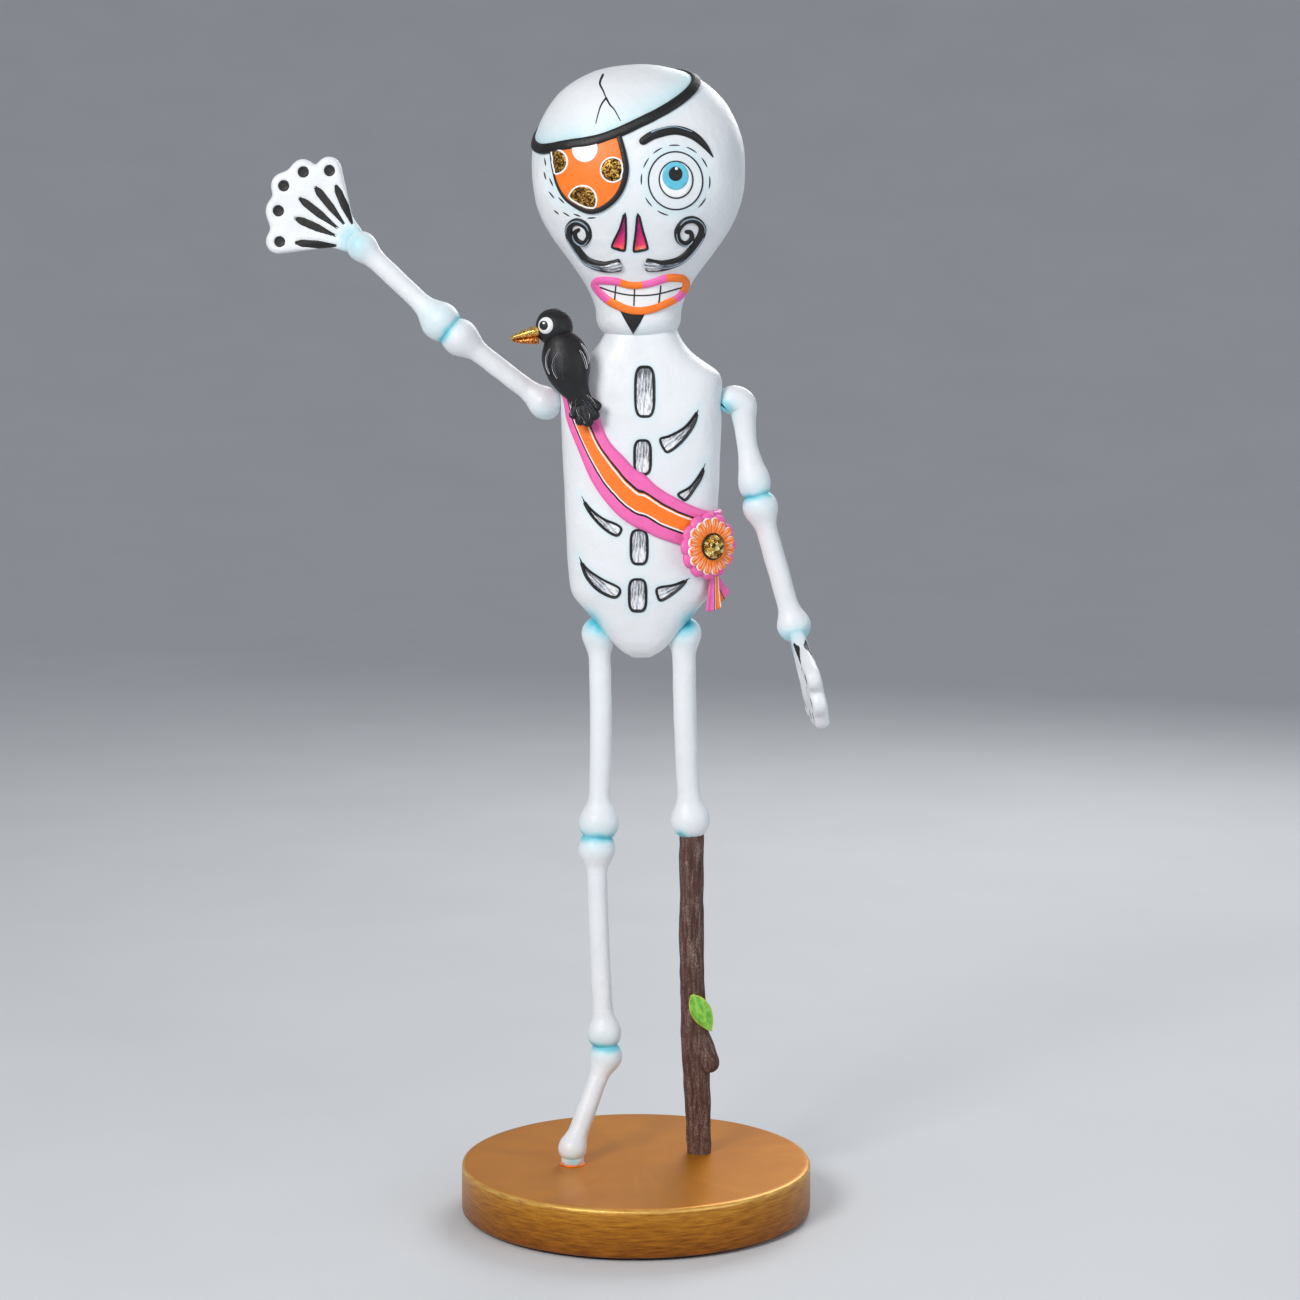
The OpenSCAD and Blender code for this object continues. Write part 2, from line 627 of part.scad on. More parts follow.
module rosette_backing() {
    lobes = 12;
    r = 14.4;
    lobe_r = 3.6;
    color(pink) on_rosette(0) linear_extrude(backing_t) {
        circle(r - 2);
        for (i = [0 : lobes - 1]) rotate(360 * i / lobes) translate([r - lobe_r + 1.4, 0]) circle(lobe_r);
    }
}

module rosette_petals() {
    petals = 16;
    r = 13.2;
    petal_r = 2.5;
    color(orange) on_rosette(backing_t) linear_extrude(petals_t) {
        circle(r - 3);
        for (i = [0 : petals - 1]) rotate(360 * i / petals) translate([r - petal_r, 0]) circle(petal_r);
    }
}

module rosette_button() {
    r = 5.6;
    color(gold) on_rosette(backing_t + petals_t) intersection() {
        translate([0, 0, -1.8]) sphere(r = r);
        cylinder(r = r, h = r);
    }
}

// One flared tail of the ribbon, hanging from behind the rosette.
module ribbon_tail(turn, length, lift) {
    thickness = 1.6;
    color(pink) translate(rosette_at) rotate([0, 0, rosette_turn])
        translate([4.5, -lift, -13]) rotate([90, 0, 0]) rotate(turn)
            linear_extrude(thickness) polygon([
                [-1.8, 2], [1.8, 2], [3, -length * 0.5], [5.2, -length], [0, -length + 2.4], [-4.4, -length - 0.6],
                [-2.6, -length * 0.5]]);
}

module ribbon_tail_inner() {
    ribbon_tail(-2, 18, -1.7);
}

module ribbon_tail_outer() {
    ribbon_tail(24, 15, -3.4);
}

// ---- Crow ----

crow_head_at = [-37, -13, 392];
crow_head_r = 8.3;
crow_eye_r = 3.7;
crow_shoulders = [-31.8, -16.5, 379];
crow_rump = [-29.5, -18.2, 369];
crow_tail_root = [-25, -19.5, 360];
tail_y = -19.5;
beak_tip = [-57, -14.5, 387];

module crow_body() {
    tail = [[-29, 351], [-23.5, 348], [-18.5, 350.5], [-16.5, 356]];
    color(paint_black) difference() {
        union() {
            hull() {
                translate(crow_shoulders) sphere(r = 10.2, $fn = 32);
                translate(crow_rump) sphere(r = 8.6, $fn = 32);
                translate(crow_tail_root) sphere(r = 4, $fn = 32);
            }
            for (t = tail) hull() {
                translate(crow_tail_root) sphere(r = 2.6, $fn = 20);
                translate([t[0], tail_y, t[1]]) sphere(r = 2.2, $fn = 20);
            }
        }
        translate(crow_head_at) sphere(r = crow_head_r);
        crow_pin_shape(fit);
    }
}

// The beak and the eyes each sit on a flat of the head, this far from its centre.
beak_seat = 7.2;
eye_seat = 7.35;
module crow_head() {
    module beyond(distance) {
        translate([-crow_head_r, -crow_head_r, distance]) cube(2 * crow_head_r);
    }
    color(paint_black) difference() {
        translate(crow_head_at) sphere(r = crow_head_r);
        along(crow_head_at, beak_tip) beyond(beak_seat);
        on_crow_eye_axes() beyond(eye_seat);
    }
}

module crow_beak() {
    color(gold) along(crow_head_at, beak_tip) translate([0, 0, beak_seat])
        cylinder(r1 = 4.1, r2 = 0.5, h = norm(beak_tip - crow_head_at) - beak_seat);
}

module on_crow_eye_axes() {
    for (turn = [241, 127]) translate(crow_head_at) rotate([0, 85, turn]) children();
}

module crow_eyes() {
    color([0.95, 0.95, 0.95]) on_crow_eye_axes() translate([0, 0, eye_seat]) intersection() {
        sphere(r = crow_eye_r);
        translate([-5, -5, 0]) cube(10);
    }
}

module crow_pin_shape(gap) {
    translate([-29, -18.6, 362]) rotate([-90, 0, 0]) cylinder(r = 0.8 + gap, h = 20);
}

module crow_pin() {
    color(steel_grey) crow_pin_shape(0);
}

// ---- Arms ----

raised_shoulder = [shoulder_x[0] - side_gap - 6.4, body_y, pin_z];
raised_elbow = [-86, body_y, 390.8];
raised_elbow_in = [-81.4, body_y, 387.3];
raised_elbow_out = [-90.3, body_y, 394.8];
raised_wrist = [-125.6, body_y, 428.4];
raised_hand_axis = unit([-0.81, 0, 0.59]);
raised_crease = unit(raised_elbow_out - raised_elbow_in);
raised_shoulder_ends = [[shoulder_x[0] + pin_depth, body_y, pin_z], raised_shoulder - [5, 0, 0]];
raised_elbow_ends = pin_ends(raised_elbow, raised_crease, 13, 13);
raised_wrist_ends = pin_ends(raised_wrist, raised_hand_axis, 6, 18);
wrist_reach = 5.6;            // from the middle of a wrist bulb to the hand

hanging_shoulder = [shoulder_x[1] + side_gap + 6.4, body_y, pin_z];
hanging_elbow = [56.4, body_y, 314.5];
hanging_elbow_in = [55.3, body_y, 319.4];
hanging_elbow_out = [57.9, body_y, 309.2];
hanging_wrist = [73.8, body_y, 253];
hanging_hand_axis = unit([11, -18, -38]);
hanging_crease = unit(hanging_elbow_out - hanging_elbow_in);
hanging_shoulder_ends = [[shoulder_x[1] - pin_depth, body_y, pin_z], hanging_shoulder + [5, 0, 0]];
hanging_elbow_ends = pin_ends(hanging_elbow, hanging_crease, 13, 13);
hanging_wrist_ends = pin_ends(hanging_wrist, hanging_hand_axis, 6, 18);

module raised_humerus() {
    color(bone_white) difference() {
        cut_beyond([shoulder_x[0] - side_gap, body_y, pin_z], [1, 0, 0]) cut_beyond(raised_elbow, raised_crease)
            bone(raised_shoulder, raised_elbow_in, 8.3, 9.6, arm_shaft_d / 2);
        pin(raised_shoulder_ends, fit, arm_pin_d);
        pin(raised_elbow_ends, fit, arm_pin_d);
    }
}

module raised_forearm() {
    color(bone_white) difference() {
        cut_beyond(raised_wrist + wrist_reach * raised_hand_axis, raised_hand_axis)
            cut_beyond(raised_elbow, -raised_crease)
                bone(raised_elbow_out, raised_wrist, 10, 7.3, arm_shaft_d / 2);
        pin(raised_elbow_ends, fit, arm_pin_d);
        pin(raised_wrist_ends, fit, arm_pin_d);
    }
}

module raised_shoulder_pin() {
    pin(raised_shoulder_ends, 0, arm_pin_d);
}

module raised_elbow_pin() {
    pin(raised_elbow_ends, 0, arm_pin_d);
}

module raised_wrist_pin() {
    pin(raised_wrist_ends, 0, arm_pin_d);
}

module hanging_humerus() {
    color(bone_white) difference() {
        cut_beyond([shoulder_x[1] + side_gap, body_y, pin_z], [-1, 0, 0]) cut_beyond(hanging_elbow, hanging_crease)
            bone(hanging_shoulder, hanging_elbow_in, 7.5, 7.3, arm_shaft_d / 2);
        pin(hanging_shoulder_ends, fit, arm_pin_d);
        pin(hanging_elbow_ends, fit, arm_pin_d);
    }
}

module hanging_forearm() {
    color(bone_white) difference() {
        cut_beyond(hanging_wrist + wrist_reach * hanging_hand_axis, hanging_hand_axis)
            cut_beyond(hanging_elbow, -hanging_crease)
                bone(hanging_elbow_out, hanging_wrist, 8.2, 7.8, arm_shaft_d / 2 + 0.3);
        pin(hanging_elbow_ends, fit, arm_pin_d);
        pin(hanging_wrist_ends, fit, arm_pin_d);
    }
}

module hanging_shoulder_pin() {
    pin(hanging_shoulder_ends, 0, arm_pin_d);
}

module hanging_elbow_pin() {
    pin(hanging_elbow_ends, 0, arm_pin_d);
}

module hanging_wrist_pin() {
    pin(hanging_wrist_ends, 0, arm_pin_d);
}

// Turns the XY plane so that +X points along the hand and +Z towards the given side.
module hand_frame(wrist, axis, facing) {
    z = unit(facing - (facing * axis) * axis);
    y = cross(z, axis);
    multmatrix([
        [axis[0], y[0], z[0], wrist[0]], [axis[1], y[1], z[1], wrist[1]], [axis[2], y[2], z[2], wrist[2]],
        [0, 0, 0, 1]])
        children();
}

// Each finger's angle from the hand's axis and the distance of its tip's centre from the wrist.
fingers = [[-31, 39], [-16, 44.6], [-2, 46.6], [12.5, 43], [32, 39.2]];
tip_r = 5.4;
dot_r = 2.7;
groove_depth = 1.2;
function polar(r, a) = [r * cos(a), r * sin(a)];

// A flat open hand with five rounded fingertips. It lies in the XY plane and points along +X from the wrist.
module hand_outline() {
    for (f = fingers) translate(polar(f[1], f[0])) circle(tip_r);
    polygon(concat(
        [[wrist_reach, -5.6], [12, -8.5]], [polar(fingers[0][1], fingers[0][0]) + polar(tip_r, fingers[0][0] - 82)],
        [for (f = fingers) polar(f[1], f[0])],
        [polar(fingers[4][1], fingers[4][0]) + polar(tip_r, fingers[4][0] + 82)], [[12, 8.5], [wrist_reach, 5.6]]));
}

// A fingertip's dot and a tapered groove along each finger, sunk into both faces.
module hand() {
    difference() {
        translate([0, 0, -hand_t / 2]) linear_extrude(hand_t) hand_outline();
        for (face = [-1, 1], f = fingers)
            translate([0, 0, face * (hand_t / 2 - groove_depth) - (face < 0 ? 2 : 0)]) linear_extrude(2) {
                translate(polar(f[1] - 1, f[0])) circle(dot_r);
                rotate(f[0]) polygon([[f[1] * 0.3, 0], [f[1] * 0.64, -1.5], [f[1] * 0.78, 0], [f[1] * 0.64, 1.5]]);
            }
        rotate([0, 90, 0]) cylinder(d = arm_pin_d + 2 * fit, h = 18);
    }
}

module raised_hand() {
    color(bone_white) hand_frame(raised_wrist, raised_hand_axis, [0, -1, 0]) hand();
}

module hanging_hand() {
    color(bone_white) hand_frame(hanging_wrist, hanging_hand_axis, [1, -0.05, 0]) hand();
}

// ---- The nodes ----

module in_figure_frame() {
    translate([0, 0, base_h]) children();
}

in_figure_frame() base_felt();
in_figure_frame() base_disc();
in_figure_frame() foot();
in_figure_frame() tibia();
in_figure_frame() femur_bone_leg();
in_figure_frame() toe_pin();
in_figure_frame() ankle_pin();
in_figure_frame() knee_pin_bone_leg();
in_figure_frame() hip_pin_bone_leg();
in_figure_frame() stick_leg();
in_figure_frame() leaf();
in_figure_frame() femur_stick_leg();
in_figure_frame() knee_pin_stick_leg();
in_figure_frame() hip_pin_stick_leg();
in_figure_frame() hip_block();
in_figure_frame() spine_dowel();
in_figure_frame() shoulder_dowel();
in_figure_frame() frame_pin();
in_figure_frame() torso_front();
in_figure_frame() torso_back();
in_figure_frame() head_block();
in_figure_frame() head_front();
in_figure_frame() head_back();
in_figure_frame() patch_strap();
in_figure_frame() eyepatch();
in_figure_frame() eyebrow();
in_figure_frame() moustache_left();
in_figure_frame() moustache_right();
in_figure_frame() lips();
in_figure_frame() sash();
in_figure_frame() rosette_backing();
in_figure_frame() rosette_petals();
in_figure_frame() rosette_button();
in_figure_frame() ribbon_tail_inner();
in_figure_frame() ribbon_tail_outer();
in_figure_frame() crow_body();
in_figure_frame() crow_head();
in_figure_frame() crow_beak();
in_figure_frame() crow_eyes();
in_figure_frame() crow_pin();
in_figure_frame() raised_humerus();
in_figure_frame() raised_forearm();
in_figure_frame() raised_hand();
in_figure_frame() raised_shoulder_pin();
in_figure_frame() raised_elbow_pin();
in_figure_frame() raised_wrist_pin();
in_figure_frame() hanging_humerus();
in_figure_frame() hanging_forearm();
in_figure_frame() hanging_hand();
in_figure_frame() hanging_shoulder_pin();
in_figure_frame() hanging_elbow_pin();
in_figure_frame() hanging_wrist_pin();
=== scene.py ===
"""The looks of a papier-mache catrina figure: a waving skeleton pirate on a round gold base.

Shapes are written in millimetres in the figure's frame, whose z = 0 is the top of the base, as in part.scad.
"""

import json
import math

import bpy
import numpy as np
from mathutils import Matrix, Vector, noise
from mathutils.bvhtree import BVHTree
from mathutils.geometry import delaunay_2d_cdt

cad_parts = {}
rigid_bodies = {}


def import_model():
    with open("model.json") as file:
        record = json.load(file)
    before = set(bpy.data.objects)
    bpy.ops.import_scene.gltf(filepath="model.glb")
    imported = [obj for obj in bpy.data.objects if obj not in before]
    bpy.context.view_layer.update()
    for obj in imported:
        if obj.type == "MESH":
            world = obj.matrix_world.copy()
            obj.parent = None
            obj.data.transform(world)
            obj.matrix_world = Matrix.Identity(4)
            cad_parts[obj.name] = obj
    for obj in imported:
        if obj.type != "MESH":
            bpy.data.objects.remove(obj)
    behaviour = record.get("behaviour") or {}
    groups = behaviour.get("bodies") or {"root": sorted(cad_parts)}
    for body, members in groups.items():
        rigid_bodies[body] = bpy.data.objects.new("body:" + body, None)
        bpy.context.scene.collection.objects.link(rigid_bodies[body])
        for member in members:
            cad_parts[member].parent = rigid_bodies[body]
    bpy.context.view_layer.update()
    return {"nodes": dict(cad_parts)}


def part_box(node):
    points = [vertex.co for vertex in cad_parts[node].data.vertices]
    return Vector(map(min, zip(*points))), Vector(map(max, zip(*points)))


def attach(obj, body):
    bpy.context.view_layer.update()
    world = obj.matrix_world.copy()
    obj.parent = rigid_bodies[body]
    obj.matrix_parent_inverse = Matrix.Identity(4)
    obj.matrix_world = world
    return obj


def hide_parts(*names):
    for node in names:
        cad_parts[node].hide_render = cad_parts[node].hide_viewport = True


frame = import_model()
BASE_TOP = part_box("base_disc")[1].z * 1000
MM = 0.001
TINY = 1e-9
SUNK = 0.25  # how far the edges of a layer of paint go below the skin


# ---- Camera, light and floor ----

def make_camera():
    """A long lens at the height of the figure's head, looking slightly down."""
    camera = bpy.data.objects.new("camera", bpy.data.cameras.new("camera"))
    camera.data.sensor_width = 36
    camera.data.lens = 83.08
    camera.location = (0.0066, -1.3867, 0.4205)
    camera.rotation_euler = (math.radians(90 - 6.327), 0, 0)
    bpy.context.scene.collection.objects.link(camera)
    bpy.context.scene.camera = camera


def area_light(name, place, target, size, power, colour):
    light = bpy.data.objects.new(name, bpy.data.lights.new(name, "AREA"))
    light.data.shape = "DISK"
    light.data.size = size
    light.data.energy = power
    light.data.color = colour
    light.location = place
    light.rotation_euler = (Vector(target) - Vector(place)).to_track_quat("-Z", "Y").to_euler()
    bpy.context.scene.collection.objects.link(light)


def make_studio():
    middle = (0, 0, 0.28)
    area_light("key", (-0.75, -1.25, 1.05), middle, 0.6, 19, (1, 0.985, 0.96))
    area_light("fill", (1.3, -1.0, 0.7), middle, 1.2, 6.5, (0.92, 0.96, 1))
    area_light("rim", (0.5, 1.2, 1.1), middle, 0.9, 10, (1, 1, 1))
    world = bpy.data.worlds.new("studio")
    world.use_nodes = True
    world.node_tree.nodes["Background"].inputs["Color"].default_value = (0.80, 0.84, 0.90, 1)
    world.node_tree.nodes["Background"].inputs["Strength"].default_value = 0.42
    bpy.context.scene.world = world
    view = bpy.context.scene.view_settings
    view.view_transform = "Standard"
    view.look = "None"


# ---- Materials ----

def srgb(r, g, b):
    """A shader colour from the 0 to 255 values of a screen."""
    parts = (r / 255, g / 255, b / 255)
    return tuple(c / 12.92 if c <= 0.04045 else ((c + 0.055) / 1.055) ** 2.4 for c in parts) + (1,)


class Shader:
    """A new material and short calls that add nodes to it."""

    def __init__(self, name, **sockets):
        self.material = bpy.data.materials.new(name)
        self.material.use_nodes = True
        self.nodes = self.material.node_tree.nodes
        self.links = self.material.node_tree.links
        self.bsdf = self.nodes["Principled BSDF"]
        self.objects = self.add("ShaderNodeTexCoord").outputs["Object"]
        for key, value in sockets.items():
            self.bsdf.inputs[key.replace("_", " ").title().replace("Ior", "IOR")].default_value = value

    def add(self, kind, inputs=None, **settings):
        node = self.nodes.new(kind)
        for key, value in settings.items():
            setattr(node, key, value)
        for key, value in (inputs or {}).items():
            if isinstance(value, bpy.types.NodeSocket):
                self.links.new(value, node.inputs[key])
            else:
                node.inputs[key].default_value = value
        return node

    def noise(self, scale, detail=3, rough=0.55, vector=None, distortion=0):
        inputs = {"Vector": vector or self.objects, "Scale": scale, "Detail": detail, "Roughness": rough,
                  "Distortion": distortion}
        return self.add("ShaderNodeTexNoise", inputs).outputs["Fac"]

    def stretched(self, scale):
        return self.add("ShaderNodeMapping", {"Vector": self.objects, "Scale": scale}).outputs["Vector"]

    def attribute(self, name):
        return self.add("ShaderNodeAttribute", attribute_name=name).outputs["Fac"]

    def maths(self, operation, a, b=0.0, c=0.0, clamp=False):
        node = self.add("ShaderNodeMath", {0: a, 1: b, 2: c}, operation=operation, use_clamp=clamp)
        return node.outputs[0]

    def ramp(self, value, stops, interpolation="LINEAR"):
        node = self.add("ShaderNodeValToRGB", {"Fac": value})
        node.color_ramp.interpolation = interpolation
        elements = node.color_ramp.elements
        while len(elements) < len(stops):
            elements.new(0.5)
        for element, (place, colour) in zip(elements, stops):
            element.position = place
            element.color = colour if len(colour) == 4 else colour + (1,)
        return node.outputs["Color"]

    def fade(self, value, low, high, dark=0, light=1):
        """A grey that goes from dark to light as the value goes from low to high."""
        return self.ramp(value, [(low, grey(dark)), (high, grey(light))])

    def rising(self, height, low, high):
        """From 0 to 1 between two heights, in millimetres from the top of the base."""
        inputs = {"Value": height, "From Min": (BASE_TOP + low) * MM, "From Max": (BASE_TOP + high) * MM}
        return self.add("ShaderNodeMapRange", inputs).outputs[0]

    def mix(self, factor, a, b, blend="MIX"):
        node = self.add("ShaderNodeMix", data_type="RGBA", blend_type=blend)
        for socket, value in zip((node.inputs[0], node.inputs[6], node.inputs[7]), (factor, a, b)):
            if isinstance(value, bpy.types.NodeSocket):
                self.links.new(value, socket)
            else:
                socket.default_value = value
        return node.outputs[2]

    def colour(self, socket):
        self.links.new(socket, self.bsdf.inputs["Base Color"])

    def roughness(self, value, low, high):
        made = self.add("ShaderNodeMapRange", {"Value": value, "To Min": low, "To Max": high})
        self.links.new(made.outputs["Result"], self.bsdf.inputs["Roughness"])

    def bump(self, *layers):
        """Each layer is a height socket and its depth in millimetres."""
        normal = None
        for height, depth in layers:
            inputs = {"Height": height, "Strength": 1.0, "Distance": depth * MM}
            if normal:
                inputs["Normal"] = normal
            normal = self.add("ShaderNodeBump", inputs).outputs["Normal"]
        self.links.new(normal, self.bsdf.inputs["Normal"])


def grey(v):
    return (v, v, v, 1)


def white_paint():
    """Satin white acrylic over paper pulp, with turquoise washes where the mesh says so."""
    s = Shader("white_paint", roughness=0.42, specular_ior_level=0.45)
    patchy = s.noise(140, 4)
    wash = s.attribute("wash")
    uneven = s.maths("MULTIPLY_ADD", patchy, 0.9, 0.55)
    strength = s.maths("MULTIPLY", wash, uneven, clamp=True)
    tones = [(0, srgb(231, 234, 238)), (0.2, srgb(214, 233, 239)), (0.5, srgb(150, 214, 227)),
             (0.8, srgb(74, 190, 206)), (1, srgb(30, 148, 170))]
    tint = s.ramp(strength, tones)
    shade = s.fade(s.noise(45, 5, 0.6), 0.3, 0.7, 0.93, 1)
    s.colour(s.mix(1.0, tint, shade, "MULTIPLY"))
    s.roughness(patchy, 0.34, 0.52)
    s.bump((s.noise(260, 3), 0.35), (s.noise(1500, 3, 0.6), 0.07))
    return s.material


def brushed_paint(name, colour, dark, rough=0.42):
    """Opaque acrylic with soft brush marks."""
    s = Shader(name, specular_ior_level=0.45)
    marks = s.noise(900, 4, 0.6, s.stretched((1, 1, 0.35)))
    s.colour(s.mix(s.noise(220, 3), srgb(*dark), srgb(*colour)))
    s.roughness(marks, rough - 0.08, rough + 0.1)
    s.bump((marks, 0.12), (s.noise(300, 2), 0.2))
    return s.material


def silver_strokes():
    """Grey and white dry-brushed strokes that run along each mark."""
    s = Shader("silver_strokes", specular_ior_level=0.5)
    along, across = s.attribute("along"), s.attribute("across")
    drawn_out = {"X": s.maths("MULTIPLY", along, 0.16), "Y": s.maths("MULTIPLY", across, 1.25)}
    strokes = s.noise(1.0, 5, 0.7, s.add("ShaderNodeCombineXYZ", drawn_out).outputs[0], 0.3)
    toned = s.maths("MULTIPLY_ADD", along, 0.009, strokes)
    tones = [(0.42, srgb(242, 244, 247)), (0.49, srgb(198, 202, 208)), (0.55, srgb(120, 125, 135)),
             (0.7, srgb(60, 63, 71))]
    s.colour(s.ramp(toned, tones))
    s.roughness(strokes, 0.35, 0.55)
    s.bump((strokes, 0.15))
    return s.material


def gold_base_paint():
    """Satin gold paint brushed round the rim, with painted shade low on its side and a painted highlight on
    its top edge.
    """
    s = Shader("gold_base_paint", metallic=0.5, specular_ior_level=0.35)
    parts = s.add("ShaderNodeSeparateXYZ", {0: s.objects}).outputs
    angle = s.maths("ARCTAN2", parts["Y"], parts["X"])
    round_rim = {"X": s.maths("MULTIPLY", angle, 0.008), "Y": 0.0, "Z": parts["Z"]}
    streaks = s.noise(900, 5, 0.7, s.add("ShaderNodeCombineXYZ", round_rim).outputs[0])
    cloudy = s.noise(28, 4, 0.55)
    rim = s.rising(parts["Z"], -1.2, -0.1)
    top = s.mix(cloudy, srgb(186, 108, 10), srgb(216, 140, 20))
    # Painted shade: the side of the disc turns darker towards the bottom.
    side_shade_mix = s.rising(parts["Z"], -20, -3)
    worn = s.fade(streaks, 0.3, 0.7)
    dark = s.mix(side_shade_mix, srgb(96, 48, 6), srgb(142, 80, 10))
    light = s.mix(side_shade_mix, srgb(176, 104, 26), srgb(214, 146, 40))
    side = s.mix(worn, dark, light)
    # Painted highlight: a bright line along the rounded top edge, broken up by the brush streaks.
    glint = s.maths("MULTIPLY", s.attribute("edge"), s.fade(streaks, 0.35, 0.6, 0.25, 0.9))
    s.colour(s.mix(glint, s.mix(rim, side, top), srgb(250, 204, 116)))
    s.roughness(streaks, 0.26, 0.46)
    s.bump((s.maths("MULTIPLY", streaks, s.maths("SUBTRACT", 1.0, rim)), 0.25), (s.noise(700, 4, 0.6), 0.05))
    return s.material


def glitter_gold(name, dark, middle, glint, scale):
    """Gold glitter: small flakes, each tilted its own way and given a painted glint, a brightness of its own.
    """
    s = Shader(name, metallic=0.9, roughness=0.3)
    flakes = s.add("ShaderNodeTexVoronoi", {"Vector": s.objects, "Scale": scale})
    flake_glint = s.add("ShaderNodeSeparateColor", {0: flakes.outputs["Color"]}).outputs["Red"]
    # Painted glints: each flake gets a brightness of its own, from the dark colour up to the glint colour.
    s.colour(s.ramp(flake_glint, [(0.1, srgb(*dark)), (0.5, srgb(*middle)), (1, srgb(*glint))]))
    s.roughness(flake_glint, 0.18, 0.5)
    s.bump((flake_glint, 0.35), (s.noise(400, 2), 0.3))
    return s.material


def crumpled_foil():
    """Gold leaf pressed over clay, with folds, and painted highlights and painted shade in its colour, a tone
    for each facet.
    """
    s = Shader("crumpled_foil", metallic=0.75)
    folds = s.add("ShaderNodeTexVoronoi", {"Vector": s.objects, "Scale": 560.0})
    facet = s.add("ShaderNodeSeparateColor", {0: folds.outputs["Color"]}).outputs["Red"]
    fine = s.noise(1200, 5, 0.75, distortion=1.0)
    # Painted highlights and painted shade: each facet and speck gets a tone from dark brown to near white.
    foil_light_and_shade = s.maths("ADD", s.maths("MULTIPLY", facet, 0.55), s.maths("MULTIPLY", fine, 0.5))
    s.colour(s.ramp(foil_light_and_shade, [(0.3, srgb(62, 36, 8)), (0.42, srgb(146, 98, 22)), (0.56, srgb(214, 170, 60)),
                           (0.7, srgb(255, 238, 168))]))
    s.roughness(fine, 0.1, 0.35)
    s.bump((folds.outputs["Distance"], 0.7), (fine, 0.6))
    return s.material


def petal_paint():
    """Orange petals with a painted white rim."""
    s = Shader("petal_paint", specular_ior_level=0.45)
    edge = s.maths("MULTIPLY_ADD", s.noise(800, 3), 0.25, s.attribute("edge"))
    body = s.mix(s.noise(600, 3), srgb(255, 112, 14), srgb(255, 150, 58))
    s.colour(s.mix(s.fade(edge, 0.3, 0.5, 1, 0), body, srgb(252, 246, 240)))
    s.roughness(s.noise(700, 3), 0.34, 0.5)
    s.bump((s.noise(500, 3), 0.15))
    return s.material


def twig_bark():
    """Brown bark with a pale dry-brushed bloom on its ridges."""
    s = Shader("twig_bark", specular_ior_level=0.3)
    grain = s.noise(620, 6, 0.7, s.stretched((1, 1, 0.12)), 0.3)
    blotch = s.noise(90, 4, 0.6)
    speck = s.noise(1900, 3, 0.7, s.stretched((1, 1, 0.5)))
    bark = s.mix(grain, srgb(46, 27, 22), srgb(104, 70, 60))
    ridge = s.maths("MULTIPLY", s.fade(grain, 0.42, 0.6),
                    s.fade(speck, 0.42, 0.56))
    bloom = s.maths("MULTIPLY", ridge, s.fade(blotch, 0.35, 0.65, 0.3, 0.85))
    s.colour(s.mix(bloom, bark, srgb(158, 138, 130)))
    s.roughness(grain, 0.62, 0.9)
    s.bump((grain, 0.9), (speck, 0.2))
    return s.material


def leaf_green():
    s = Shader("leaf_green", specular_ior_level=0.4)
    edge = s.attribute("edge")
    strokes = s.noise(500, 4, 0.6, s.stretched((1, 1, 0.5)))
    body = s.mix(s.fade(strokes, 0.35, 0.65), srgb(88, 158, 44), srgb(142, 206, 84))
    s.colour(s.mix(s.fade(edge, 0.06, 0.34, 0.8, 0), body, srgb(206, 214, 64)))
    s.roughness(strokes, 0.4, 0.6)
    s.bump((strokes, 0.2))
    return s.material


def ribbon_stripes(name, stops):
    """Colours in stripes across a ribbon. Each stop is where a stripe begins and its colour."""
    s = Shader(name, specular_ior_level=0.45)
    wobble = s.maths("MULTIPLY_ADD", s.noise(160, 3), 0.045, s.maths("ADD", s.attribute("across"), -0.0225))
    stripes = s.ramp(wobble, stops, "CONSTANT")
    s.colour(s.mix(1.0, stripes, s.fade(s.noise(300, 3), 0.3, 0.7, 0.9, 1), "MULTIPLY"))
    marks = s.noise(700, 4, 0.6, s.stretched((1, 1, 0.5)))
    s.roughness(marks, 0.34, 0.52)
    s.bump((marks, 0.12), (s.noise(260, 2), 0.3))
    return s.material


def nose_paint():
    """Magenta above that turns to orange at the foot of each nose hollow."""
    s = Shader("nose_paint", roughness=0.4)
    height = s.add("ShaderNodeSeparateXYZ", {0: s.objects}).outputs["Z"]
    mixed = s.rising(s.maths("MULTIPLY_ADD", s.noise(500, 3), 0.005, height), 428, 437)
    s.colour(s.ramp(mixed, [(0.1, srgb(255, 112, 44)), (0.45, srgb(232, 50, 110)), (1, srgb(205, 36, 130))]))
    s.bump((s.noise(600, 3), 0.2))
    return s.material


def raw_wood():
    s = Shader("raw_wood", specular_ior_level=0.3)
    grain = s.noise(300, 5, 0.65, s.stretched((1, 1, 0.06)), 0.6)
    s.colour(s.mix(grain, srgb(150, 112, 70), srgb(214, 182, 136)))
    s.roughness(grain, 0.55, 0.8)
    s.bump((grain, 0.2))
    return s.material


def steel():
    s = Shader("steel", metallic=1.0)
    lines = s.noise(2500, 4, 0.6, s.stretched((1, 1, 0.05)))
    s.colour(s.mix(lines, srgb(120, 122, 126), srgb(176, 178, 182)))
    s.roughness(lines, 0.25, 0.45)
    s.bump((lines, 0.03))
    return s.material


